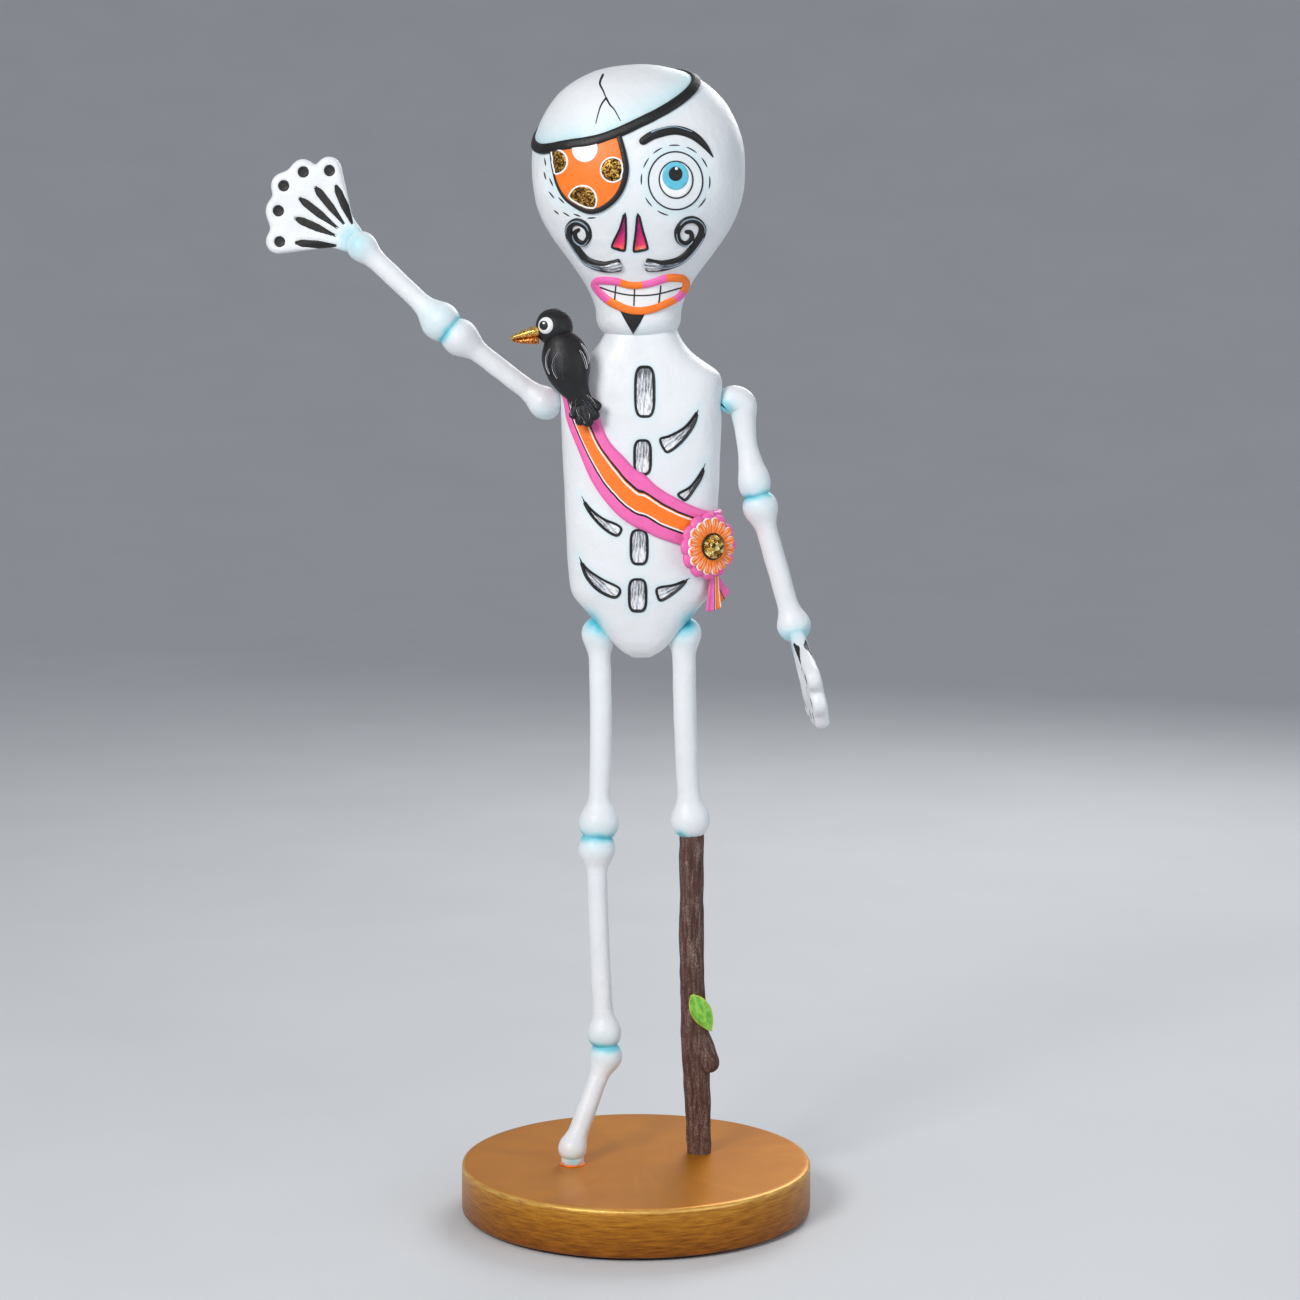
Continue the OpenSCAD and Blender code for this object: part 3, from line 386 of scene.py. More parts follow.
def felt():
    s = Shader("felt", sheen_weight=0.4)
    fibres = s.noise(2600, 6, 0.8)
    s.colour(s.mix(fibres, srgb(10, 10, 11), srgb(42, 42, 44)))
    s.roughness(fibres, 0.85, 1.0)
    s.bump((fibres, 0.3))
    return s.material


def floor_paint():
    s = Shader("floor_paint")
    soft = s.noise(6, 4)
    s.colour(s.mix(soft, srgb(205, 207, 210), srgb(215, 217, 220)))
    s.roughness(soft, 0.6, 0.75)
    return s.material


WHITE = white_paint()
BLACK = brushed_paint("black_paint", (25, 25, 28), (9, 9, 10), 0.5)
BLUE_GREY = brushed_paint("blue_grey_paint", (164, 184, 200), (108, 126, 144), 0.4)
SILVER = silver_strokes()
ORANGE = brushed_paint("orange_paint", (255, 132, 42), (244, 112, 22))
PINK = brushed_paint("pink_paint", (246, 116, 186), (232, 88, 166))
BRIGHT = brushed_paint("bright_white_paint", (250, 250, 250), (232, 234, 236))
IRIS = brushed_paint("iris_blue_paint", (116, 206, 228), (76, 176, 206))
GLITTER = glitter_gold("glitter_gold", (66, 42, 16), (140, 96, 38), (226, 184, 100), 1500.0)
BEAK_GOLD = glitter_gold("beak_gold", (150, 96, 30), (222, 168, 76), (255, 226, 150), 2600.0)
COPPER = glitter_gold("beak_copper", (96, 40, 12), (190, 104, 44), (250, 186, 110), 2600.0)
GOLD = gold_base_paint()
BARK = twig_bark()
LEAF = leaf_green()
NOSE = nose_paint()
WOOD = raw_wood()
STEEL = steel()
FELT = felt()
PINK_RGB, ORANGE_RGB = srgb(243, 108, 180), srgb(255, 126, 34)
BLACK_RGB, WHITE_RGB = srgb(20, 20, 22), srgb(246, 244, 244)
FOIL = crumpled_foil()
PETAL = petal_paint()
SASH = ribbon_stripes("sash_stripes", [
    (0, PINK_RGB), (0.27, BLACK_RGB), (0.315, WHITE_RGB), (0.345, ORANGE_RGB), (0.645, WHITE_RGB),
    (0.68, ORANGE_RGB), (0.70, BLACK_RGB), (0.75, PINK_RGB)])
TAIL_INNER = ribbon_stripes("inner_tail_stripes", [
    (0, PINK_RGB), (0.48, BLACK_RGB), (0.54, WHITE_RGB), (0.62, ORANGE_RGB), (0.93, WHITE_RGB)])
TAIL_OUTER = ribbon_stripes("outer_tail_stripes", [(0, ORANGE_RGB), (0.42, BLACK_RGB), (0.48, PINK_RGB)])


# ---- Curves and surfaces ----

def smooth(points, steps=6, closed=False):
    """A Catmull-Rom curve through the rows of points."""
    p = np.asarray(points, float)
    n = len(p)
    out = []
    for i in range(n if closed else n - 1):
        a, b, c, d = (p[j % n] if closed else p[min(max(j, 0), n - 1)] for j in (i - 1, i, i + 1, i + 2))
        for k in range(steps):
            t = k / steps
            bent, twisted = 2 * a - 5 * b + 4 * c - d, 3 * b - 3 * c + d - a
            out.append(0.5 * (2 * b + (c - a) * t + bent * t ** 2 + twisted * t ** 3))
    if not closed:
        out.append(p[-1])
    return np.array(out)


def straight(corners, step):
    """A closed outline with straight sides, in short steps."""
    c = np.asarray(corners, float)
    out = []
    for a, b in zip(c, np.roll(c, -1, 0)):
        n = max(1, int(np.linalg.norm(b - a) / step))
        out += [a + (b - a) * k / n for k in range(n)]
    return np.array(out)


def turns(count):
    """Angles spaced evenly all the way round."""
    return np.linspace(0, 2 * math.pi, count, endpoint=False)


def turned(x, y, angle):
    """Coordinates after a turn about the origin."""
    c, s = math.cos(angle), math.sin(angle)
    return x * c - y * s, x * s + y * c


def lathe(rings, angles):
    """Points of a turned shape. Each ring is a radius and a height."""
    return np.array([[r * math.cos(a), r * math.sin(a), z] for r, z in rings for a in angles])


def near_outline(points, outline, reach):
    """Which points lie about an outline, seen from the front."""
    x, z = outline.mean(0)
    return (np.abs(points[:, 0] - x) < reach) & (np.abs(points[:, 2] - z) < reach)


def ellipse(cx, cz, rx, rz, count=48):
    a = turns(count)
    return np.stack([cx + rx * np.cos(a), cz + rz * np.sin(a)], 1)


def unit(v):
    """Vectors along the last axis, each made one long."""
    return v / np.maximum(np.linalg.norm(v, axis=-1, keepdims=True), TINY)


def depth_inside(points, outline):
    """How far each point lies inside a closed outline: negative outside it."""
    a, b = outline, np.roll(outline, -1, 0)
    d = b - a
    rel = points[:, None, :] - a[None]
    t = np.clip((rel * d).sum(2) / np.maximum((d * d).sum(1), 1e-12), 0, 1)
    gap = np.linalg.norm(rel - t[..., None] * d, axis=2).min(1)
    z, x = points[:, None, 1], points[:, None, 0]
    with np.errstate(divide="ignore", invalid="ignore"):
        crosses = ((a[:, 1] > z) != (b[:, 1] > z)) & (x < d[:, 0] * (z - a[:, 1]) / d[:, 1] + a[:, 0])
    return np.where(crosses.sum(1) % 2 == 1, gap, -gap)


def moved_in(outline, by):
    """A closed outline with every point moved inwards."""
    ahead = np.roll(outline, -1, 0) - np.roll(outline, 1, 0)
    x, z = outline.T
    anticlockwise = np.sum(x * np.roll(z, -1) - z * np.roll(x, -1)) > 0
    return outline + unit(np.stack([-ahead[:, 1], ahead[:, 0]], 1)) * (by if anticlockwise else -by)


def shrunk(outline, by):
    """An outline moved inwards, without the points that this takes too near another side."""
    moved = moved_in(outline, by)
    return moved[depth_inside(moved, outline) > by * 0.9]


def filled(outline, loops, cell, margin):
    """Points and triangles that fill an outline: its own points, those of the loops, and a square grid."""
    low, high = outline.min(0), outline.max(0)
    grid = np.stack(np.meshgrid(*(np.arange(a, b, cell) for a, b in zip(low, high))), -1).reshape(-1, 2)
    grid = grid[depth_inside(grid, outline) > margin]
    every = np.concatenate([outline, *loops, grid])
    n = len(outline)
    edges = [(i, (i + 1) % n) for i in range(n)]
    made = delaunay_2d_cdt([Vector(p) for p in every.tolist()], edges, [], 1, 1e-5)
    return np.array([tuple(p) for p in made[0]]), [tuple(f) for f in made[2]]


def lumps(points, size, depth, seed=0.0):
    """Slow unevenness of hand-made paper, in millimetres."""
    offset = Vector((seed, seed * 0.7, -seed))
    return depth * np.array([noise.noise(Vector(p) / size + offset) for p in points.tolist()])


class Form:
    """A hollow form made of squarish sections, as in part.scad."""

    def __init__(self, section, centre_x, centre_y, squareness, dents):
        self.section, self.centre_x, self.centre_y = section, centre_x, centre_y
        self.squareness, self.dents = squareness, dents

    def around(self, angle, z):
        w, d = self.section(z)
        e = 2 / self.squareness
        c, s = np.cos(angle), np.sin(angle)
        return np.stack([self.centre_x + w * np.sign(c) * np.abs(c) ** e,
                         self.centre_y(z) + d * np.sign(s) * np.abs(s) ** e, z], 1)

    def front(self, x, z):
        w, d = self.section(z)
        u = np.clip(np.abs(x - self.centre_x) / w, 0, 0.9995)
        y = self.centre_y(z) - d * (1 - u ** self.squareness) ** (1 / self.squareness)
        return np.stack([x, y, z], 1)

    def normal(self, p):
        h, n, z = 0.4, self.squareness, p[:, 2]
        (w, d), (w2, d2) = self.section(z), self.section(z + h)
        u, v = (p[:, 0] - self.centre_x) / w, (p[:, 1] - self.centre_y(z)) / d
        shift = self.centre_y(z + h) - self.centre_y(z)
        un, vn = np.sign(u) * np.abs(u) ** (n - 1), np.sign(v) * np.abs(v) ** (n - 1)
        up = -(np.abs(u) ** n * (w2 - w) / w + np.abs(v) ** n * (d2 - d) / d + vn * shift / d) / h
        return unit(np.stack([un / w, vn / d, up], 1))

    def pushed(self, p):
        """How far the made skin stands off the plain form: its lumps, less its dents."""
        out = lumps(p, 16, 0.35) + lumps(p, 5, 0.07, 3)
        facing = p[:, 1] < self.centre_y(p[:, 2])
        for outline, depth, bevel in self.dents:
            near = facing & near_outline(p, outline, 30)
            t = np.clip(depth_inside(p[near][:, [0, 2]], outline) / bevel, 0, 1)
            out[near] -= depth * t * t * (3 - 2 * t)
        return out

    def place(self, uv, lift=0.0):
        p = self.front(uv[:, 0], uv[:, 1])
        return p + self.normal(p) * (self.pushed(p) + lift)[:, None]


class Cast:
    """The front of any piece, found by casting rays along +Y."""

    def __init__(self, piece):
        self.tree = BVHTree.FromObject(piece, bpy.context.evaluated_depsgraph_get())

    def place(self, uv, lift=0.0):
        lift = np.broadcast_to(lift, len(uv))
        out = []
        for (x, z), up in zip(uv.tolist(), lift):
            hit, normal, _, _ = self.tree.ray_cast(Vector((x, -150, z + BASE_TOP)) * MM, Vector((0, 1, 0)))
            if hit is None:
                hit, normal, _, _ = self.tree.find_nearest(Vector((x, -20, z + BASE_TOP)) * MM)
            out.append(np.array(hit) / MM - [0, 0, BASE_TOP] + np.array(normal) * up)
        return np.array(out)


# ---- Pieces ----

def in_scene(points):
    """Metres in Blender's scene from millimetres in the figure's frame."""
    return ((np.asarray(points, float) + [0, 0, BASE_TOP]) * MM).tolist()


def add_piece(name, points, faces, materials, body, replaces=(), face_materials=None, values=None):
    """Makes an object from points in the figure's frame and gives it to a body."""
    mesh = bpy.data.meshes.new(name)
    mesh.from_pydata(in_scene(points), [], [list(map(int, f)) for f in faces])
    for material in materials:
        mesh.materials.append(material)
    if face_materials is not None:
        mesh.polygons.foreach_set("material_index", np.asarray(face_materials, np.int32))
    for key, value in (values or {}).items():
        mesh.attributes.new(key, "FLOAT", "POINT").data.foreach_set("value", np.asarray(value, np.float32))
    mesh.polygons.foreach_set("use_smooth", np.ones(len(mesh.polygons), bool))
    mesh.update()
    piece = bpy.data.objects.new(name, mesh)
    bpy.context.scene.collection.objects.link(piece)
    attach(piece, body)
    if replaces:
        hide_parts(*replaces)
    return piece


def grid_faces(rows, cols, wrap_cols=False, wrap_rows=False):
    out = []
    for i in range(rows if wrap_rows else rows - 1):
        for j in range(cols if wrap_cols else cols - 1):
            a, b = i * cols + j, i * cols + (j + 1) % cols
            c, d = ((i + 1) % rows) * cols + (j + 1) % cols, ((i + 1) % rows) * cols + j
            out.append((a, b, c, d))
    return out


def closed_faces(rows, cols):
    """Faces of a grid that goes all round, with a flat face at each end."""
    first, last = range(cols), range((rows - 1) * cols, rows * cols)
    return grid_faces(rows, cols, wrap_cols=True) + [tuple(first)[::-1], tuple(last)]


def joined_skins(front, back, skin_faces, border):
    """Two skins with the same faces, and a rim between them along the border's edges."""
    count = len(front)
    faces = skin_faces + [tuple(i + count for i in f[::-1]) for f in skin_faces]
    faces += [(b, a, a + count, b + count) for a, b in border]
    return np.concatenate([front, back]), faces


def two_sided(front, back, rows, cols):
    """A thin sheet from a front and a back grid of points."""
    grid = np.arange(rows * cols).reshape(rows, cols)
    ring = np.concatenate([grid[0], grid[1:, -1], grid[-1, -2::-1], grid[-2:0:-1, 0]]).tolist()
    return joined_skins(front, back, grid_faces(rows, cols), zip(ring[-1:] + ring[:-1], ring))


class Batch:
    """Gathers several patches and strokes into one piece."""

    def __init__(self, materials):
        self.materials, self.points, self.faces, self.kinds = materials, [], [], []
        self.values = {"along": [], "across": [], "edge": []}
        self.count = 0

    def take(self, points, faces, material, along, across, edge):
        self.points.append(points)
        self.faces += [tuple(i + self.count for i in f) for f in faces]
        self.kinds += [self.materials.index(material)] * len(faces)
        for key, value in (("along", along), ("across", across), ("edge", edge)):
            self.values[key].append(np.broadcast_to(value, len(points)))
        self.count += len(points)

    def patch(self, surface, outline, material, height=0.25, lift=0.0, edge=0.3, cell=1.1, axis=(0, 1)):
        """A thin area of paint inside a closed outline. axis is the way its strokes run."""
        uv, faces = filled(outline, [moved_in(outline, edge)], cell, edge + cell * 0.45)
        inside = depth_inside(uv, outline)
        up = np.where(inside < edge * 0.4, -SUNK, height) + lift
        axis = unit(np.array(axis, float))
        rel = uv - uv.mean(0)
        across = rel @ np.array([-axis[1], axis[0]])
        self.take(surface.place(uv, up), faces, material, rel @ axis, across, inside)

    def stroke(self, surface, path, half_width, material, height=0.25, lift=0.0, closed=False, blunt=False,
               kinds=None):
        """A raised line of paint along a path. kinds may give the material at each point of the path."""
        path = np.asarray(path, float)
        half = np.broadcast_to(half_width, len(path)).astype(float)
        if not closed:
            path, half = self.rounded(path, half, blunt)
        n = len(path)
        ahead = np.roll(path, -1, 0) - np.roll(path, 1, 0)
        if not closed:
            ahead[0], ahead[-1] = path[1] - path[0], path[-1] - path[-2]
        side = unit(np.stack([ahead[:, 1], -ahead[:, 0]], 1))
        q = np.array([-1, -0.86, -0.55, 0, 0.55, 0.86, 1])
        uv = path[:, None] + q[None, :, None] * half[:, None, None] * side[:, None]
        tall = height * np.minimum(1, half / max(half.max(), 1e-6) * 1.4)
        up = tall[:, None] * np.sqrt(np.clip(1 - q ** 2 * 0.85, 0, 1))[None]
        up[:, [0, -1]] = -SUNK
        length = row_lengths(path)
        faces = [f[::-1] for f in grid_faces(n, len(q), wrap_rows=closed)]
        points = surface.place(uv.reshape(-1, 2), up.reshape(-1) + lift)
        self.take(points, faces, material, np.repeat(length, len(q)),
                  np.tile(q, n) * np.repeat(half, len(q)), np.tile(1 - np.abs(q), n))
        if kinds is not None:
            per_row = [self.materials.index(kinds[i % len(kinds)]) for i in range(len(faces) // (len(q) - 1))]
            self.kinds[-len(faces):] = np.repeat(per_row, len(q) - 1).tolist()

    @staticmethod
    def rounded(path, half, blunt):
        """Adds points at both ends that close the stroke in a half circle, or its start more squarely."""
        def cap(end, before, r, reach, power):
            way = unit(end - before)
            a = np.radians([30, 55, 75, 88])
            return [end + way * r * reach * math.sin(t) for t in a], [r * math.cos(t) ** power for t in a]
        head, head_r = cap(path[0], path[1], half[0], *((0.35, 0.3) if blunt else (1, 1)))
        tail, tail_r = cap(path[-1], path[-2], half[-1], 1, 1)
        return np.array(head[::-1] + list(path) + tail), np.array(head_r[::-1] + list(half) + tail_r)

    def piece(self, name, body, slot, replaces=()):
        values = {k: np.concatenate(v) for k, v in self.values.items()}
        return add_piece(name, np.concatenate(self.points), self.faces, self.materials, body, replaces,
                         self.kinds, values)


def tube(rows, sides=40, side=(1, 0, 0), seed=1.0, bumpy=0.18):
    """A closed organic bar. Each row is x, y, z and its half widths along side and across it."""
    rows = np.asarray(rows, float)
    centre = rows[:, :3]
    ahead = unit(np.gradient(centre, axis=0))
    across = unit(np.cross(ahead, np.array(side, float)))
    wide = np.cross(across, ahead)
    a = turns(sides)
    ring = (np.cos(a)[None, :, None] * wide[:, None] * rows[:, 3, None, None]
            + np.sin(a)[None, :, None] * across[:, None] * rows[:, 4, None, None])
    points = (centre[:, None] + ring).reshape(-1, 3)
    out = ring.reshape(-1, 3)
    slim = np.clip(np.linalg.norm(out, axis=1, keepdims=True) / 3, 0, 1)
    points = points + unit(out) * lumps(points, 7, bumpy, seed)[:, None] * slim
    return points, [f[::-1] for f in closed_faces(len(rows), sides)]


def washed(points, places):
    """The turquoise wash at each point: the sum of soft spots, each a place, a radius and a strength.

    A place with an axis is a band across it, as in the crease between two bones.
    """
    total = np.zeros(len(points))
    for place, radius, strength, *axis in places:
        away = points - np.array(place, float)
        gap = np.linalg.norm(away, axis=1)
        if axis:
            near = gap < 16
            way = unit(np.array(axis[0], float))
            wander = lumps(points, 5, 0.9, 2)
            total += near * strength * np.exp(-((away @ way + wander) / radius) ** 2)
        else:
            total += strength * np.exp(-(gap / radius) ** 2)
    return np.clip(total, 0, 1)


make_camera()
make_studio()


# ---- The forms of the torso and head ----

def torso_section(z):
    """Half width and half depth at each height, with the corners of the rows rounded a little."""
    rows = np.array([
        [238.5, 3.4, 3], [239.4, 6, 5.2], [241, 8.8, 7.6], [243.5, 11.5, 9.6], [246.5, 14.2, 11.5],
        [254, 20.4, 14.5], [262, 27.2, 17], [267, 31.6, 18.3], [271, 33.3, 19], [276, 33.9, 19.8],
        [296, 34.9, 21], [326, 36.3, 22], [351, 37.2, 22], [363, 37.4, 21.2], [368, 37.2, 20.3],
        [371.5, 35.6, 19.6], [375, 30.5, 18.6], [379, 24.5, 17.8], [383, 20.6, 17.2], [387, 18, 16.9],
        [390.5, 16.5, 16.5], [404, 16.5, 16.5]])
    steps = (-1.4, -0.7, 0, 0.7, 1.4)
    return [sum(np.interp(z + o, rows[:, 0], rows[:, i]) for o in steps) / len(steps) for i in (1, 2)]


CROWN, BROW, JAW, CHIN = 511, 464, 397, 385.4
HEAD_WIDTHS = (48.7, 19.5)  # half widths at the brow and the jaw
HEAD_DEPTHS = (40, 19)  # half depths at the same heights


def head_section(z):
    """Half width and half depth at each height: a dome, a long curve in to the jaw, and a rounded chin."""
    out = []
    for half, jaw in (HEAD_WIDTHS, HEAD_DEPTHS):
        top = half * np.clip(1 - np.clip((z - BROW) / (CROWN - BROW), 0, 1) ** 2.2, 0, 1) ** (1 / 2.2)
        turn = np.radians(180 * np.clip((BROW - z) / (BROW - JAW), 0, 1) ** 1.25)
        cheek = jaw + (half - jaw) * (1 + np.cos(turn)) / 2
        low = jaw * np.clip(1 - np.clip((JAW - z) / (JAW - CHIN), 0, 1) ** 2.4, 0, 1) ** (1 / 2.4)
        out.append(np.maximum(np.where(z > BROW, top, np.where(z > JAW, cheek, low)), 0.05))
    return out


def rows_of(form, low, high, step):
    """Heights whose spacing is even along the form's outline."""
    z = low + (high - low) * (1 - np.cos(np.linspace(0, math.pi, 4000))) / 2
    w, _ = form.section(z)
    length = np.concatenate([[0], np.cumsum(np.hypot(np.diff(w), np.diff(z)))])
    return np.interp(np.linspace(0, length[-1], int(length[-1] / step)), length, z)


def angles_of(form, z, count, front_weight=1.0):
    """Angles whose spacing is even round the form, or closer on its front."""
    a = np.linspace(0, 2 * math.pi, 4000)
    ring = form.around(a, np.full(len(a), z))
    step = np.linalg.norm(np.diff(ring, axis=0), axis=1) * np.where(a[1:] > math.pi, front_weight, 1)
    length = np.concatenate([[0], np.cumsum(step)])
    return np.interp(np.linspace(0, length[-1], count, endpoint=False), length, a)


def row_lengths(points):
    """How far along a line each of its points is."""
    return np.concatenate([[0], np.cumsum(np.linalg.norm(np.diff(points, axis=0), axis=1))])


def skin(name, form, low, high, widest, count, replaces, washes):
    heights, angles = rows_of(form, low, high, 0.6), angles_of(form, widest, count, 2.4)
    z, a = np.repeat(heights, len(angles)), np.tile(angles, len(heights))
    plain = form.around(a, z)
    points = plain + form.normal(plain) * form.pushed(plain)[:, None]
    n = len(angles)
    faces = grid_faces(len(heights), n, wrap_cols=True)
    for row in (0, len(heights) - 1):
        middle = len(points)
        points = np.vstack([points, points[row * n:(row + 1) * n].mean(0)])
        ring = [(row * n + j, row * n + (j + 1) % n, middle) for j in range(n)]
        faces += [f[::-1] for f in ring] if row == 0 else ring
    return add_piece(name, points, faces, [WHITE], "figure", replaces,
                     values={"wash": washes(points)})


def halo(points, outlines, width, strength):
    """A pale wash round painted outlines on the front."""
    total = np.zeros(len(points))
    for outline in outlines:
        near = (points[:, 1] < 2) & near_outline(points, outline, 32)
        gap = np.maximum(-depth_inside(points[near][:, [0, 2]], outline), 0)
        total[near] = np.maximum(total[near], strength * np.exp(-(gap / width) ** 2))
    return total


def slot_outline(cx, cz, rx, rz):
    c, s = np.cos(turns(56)), np.sin(turns(56))
    e = 2 / 3.4
    return np.stack([cx + rx * np.sign(c) * np.abs(c) ** e, cz + rz * np.sign(s) * np.abs(s) ** e], 1)


def from_tip(points):
    """A closed outline with one sharp tip, its first point."""
    return smooth(points + points[:1], 6)[:-1]


# Painted hollows in the chest: four slots down the middle, then five ribs, each from its sharp outer tip.
SLOTS = [slot_outline(4.2, 362.8, 4.8, 11.8), slot_outline(3.2, 332.9, 4.2, 8.2),
         slot_outline(1.6, 291.6, 4.3, 8.3), slot_outline(0.9, 269.2, 4.4, 8)]
RIBS = [from_tip(r) for r in (
    [[29, 355.6], [27.2, 347.8], [21.7, 339.9], [15.3, 335], [12.6, 336.4], [10.9, 341.4], [15.7, 343.2],
     [22.7, 347.4]],
    [[32.5, 331.4], [30.7, 323.9], [27.2, 318], [23.4, 313.1], [21, 313.5], [19.2, 316.3], [24.7, 319.6],
     [29.2, 325.4]],
    [[-25.5, 316.3], [-21, 310], [-15, 305.2], [-8.1, 302.2], [-6.1, 299.6], [-8.6, 296.5], [-14.1, 299.2],
     [-20, 305], [-23.5, 310.5]],
    [[-26.6, 287.8], [-22.2, 281.8], [-15.1, 277], [-7.6, 273.2], [-7, 269.8], [-10.2, 267.7],
     [-17.2, 270.8], [-22.7, 276.7], [-25.2, 282.7]],
    [[25.4, 277.8], [20.8, 272.4], [15.8, 268.4], [11.8, 266.4], [10, 267.8], [9.7, 272.8], [17.8, 274.6]])]
NOSE_HOLLOWS = [np.array(p, float) for p in (
    [[-4.5, 442.6], [-6.8, 436], [-10.6, 428.9], [-9.6, 427.6], [-5.6, 426.5], [-4.5, 427.4], [-4, 434]],
    [[1.2, 442.3], [0.1, 434], [-0.9, 427], [0, 426], [4.9, 426.9], [5.6, 428.2], [3.4, 435]])]
NOSE_OUTLINES = [smooth(p, 3, True) for p in NOSE_HOLLOWS]
TORSO = Form(torso_section, 2.6, lambda z: np.full(np.shape(z), 8.0), 2.8,
             [(o, 1.1, 1.5) for o in SLOTS + RIBS])
HEAD = Form(head_section, 1.3, lambda z: np.interp(z, [JAW, 419, BROW], [5.5, 3, 2]), 2.4,
            [(o, 1.6, 1.6) for o in NOSE_OUTLINES])
EYE = (18, 457)


def torso_wash(p):
    spots = [((-21, 0, 256), 6.5, 0.7), ((26, 0, 256), 6.5, 0.7), ((-20, 14, 254), 7, 0.7),
             ((25, 14, 254), 7, 0.7), ((40, 5, 358), 5.5, 0.6), ((-35, 8, 357), 6, 0.3)]
    return np.maximum(washed(p, spots), halo(p, SLOTS + RIBS, 2.2, 0.13))


def head_wash(p):
    eye = [ellipse(EYE[0], EYE[1], 12, 12.6)]
    mouth = [np.array([[-19, 412], [0, 411], [24, 414], [20, 405], [0, 398], [-14, 405]], float)]
    front = p[:, 1] < 0
    radius = np.hypot(p[:, 0] - EYE[0], (p[:, 2] - EYE[1]) * 0.96)
    round_eye = np.where(front & (radius < 11.8), 0, halo(p, eye, 4.5, 0.17))
    lids = np.where(front & (radius < 12), 0.04, 0)
    patch = halo(p, [ellipse(-20.8, 460.5, 17, 17)], 3, 0.15)
    above = strap_gap(p)
    band = np.where(above > 0, 0.3 * np.exp(-(above / 6.5) ** 2), 0.14 * np.exp(-(above / 4) ** 2))
    return np.maximum.reduce([round_eye, halo(p, mouth, 2.6, 0.12), halo(p, NOSE_OUTLINES, 2.2, 0.14),
                              lids, patch, band, washed(p, [((2, -12, 387), 8, 0.12)])])


# ---- Limbs ----

BULB = np.radians([1, 10, 20, 30, 40, 50, 60, 70, 80, 88])


def bone_rows(p, q, r_p, r_q, r_shaft, deep=0.9, bend=(0, 0, 0)):
    """Rows of a bone from one bulb to the other, with a slim shaft that bends a little."""
    p, q, bend = (np.array(v, float) for v in (p, q, bend))
    length = np.linalg.norm(q - p)
    ease = 1.5

    def flare(s, r):
        return 0.0 if s > ease * r else ((1 + math.cos(math.pi * s / (ease * r))) / 2) ** 1.3

    stations = [(-r_p * math.sin(a), r_p * math.cos(a)) for a in BULB[:0:-1]]
    for s in np.arange(0, length, 1.4):
        bulge = max((r_p - r_shaft) * flare(s, r_p), (r_q - r_shaft) * flare(length - s, r_q))
        stations.append((s, r_shaft + bulge))
    stations += [(length + r_q * math.sin(a), r_q * math.cos(a)) for a in BULB]
    rows = []
    for s, r in stations:
        way = min(max(s / length, 0), 1)
        centre = p + (q - p) * s / length + bend * math.sin(math.pi * way)
        rows.append([*centre, r, r * (deep + (1 - deep) * 0.6 * (r <= r_shaft * 1.1))])
    return rows


def merged(parts):
    """The points and faces of several meshes as those of one."""
    points, faces, count = [], [], 0
    for some, more in parts:
        points.append(some)
        faces += [tuple(i + count for i in f) for f in more]
        count += len(some)
    return np.concatenate(points), faces


def paper_piece(name, parts, body, replaces, spots):
    """A white piece made of closed bars, with turquoise washes."""
    points, faces = merged(parts)
    return add_piece(name, points, faces, [WHITE], body, replaces,
                     values={"wash": washed(points, spots)})


def make_legs():
    knee, ankle = (-18, 7, 154), (-14.6, 6, 54)
    up = (0.05, 0, 1)
    crease = [(knee, 2.1, 0.5, up), (knee, 7, 0.2, up), (ankle, 2, 0.5, up), (ankle, 6, 0.2, up)]
    toe, low = (-30, -8, 7.5), (-14.4, 6, 48.4)
    stub = tube([[-30, -8, 9, 5, 5], [-30, -8, 6, 5.3, 5.2], [-29.9, -8, 2.5, 5.2, 5.1],
                 [-29.9, -8, -0.3, 5.4, 5.2]])
    toe_spots = [((-30, -13, 2.5), 3.5, 0.35), ((-30, -8, 1.5), 6, 0.2)]
    foot = bone_rows(toe, low, 6.6, 7.8, 4.7, 0.95)
    paper_piece("foot", [tube(foot), stub], "figure", ["foot"], crease + toe_spots)
    tibia = bone_rows((-15, 6, 59.6), (-18.6, 7, 148), 8.2, 8.9, 4.8, bend=(-0.6, 0, 0))
    paper_piece("tibia", [tube(tibia, seed=4)], "figure", ["tibia"], crease)
    hip = [((-14, 4, 255), 7, 0.85), ((-20, 3, 257), 6, 0.5)]
    femur = bone_rows((-17.4, 7, 160.6), (-17.3, 8, 249.5), 9.7, 8.2, 5.1, bend=(0.9, 0, 0))
    paper_piece("femur_left", [tube(femur, seed=7)], "figure", ["femur_bone_leg"], crease + hip)
    end = (25.9, 9.2, 153.5)
    femur = bone_rows((25.6, 9, 161.4), (22.4, 8, 249.5), 9.4, 8.2, 5.4, bend=(-0.8, 0, 0))
    spots = [(end, 1.6, 0.35, up), ((20.5, 3, 154), 3.4, 0.7), ((19, 4, 255), 7, 0.85),
             ((25, 3, 257), 6, 0.5)]
    paper_piece("femur_right", [tube(femur, seed=9)], "figure", ["femur_stick_leg"], spots)


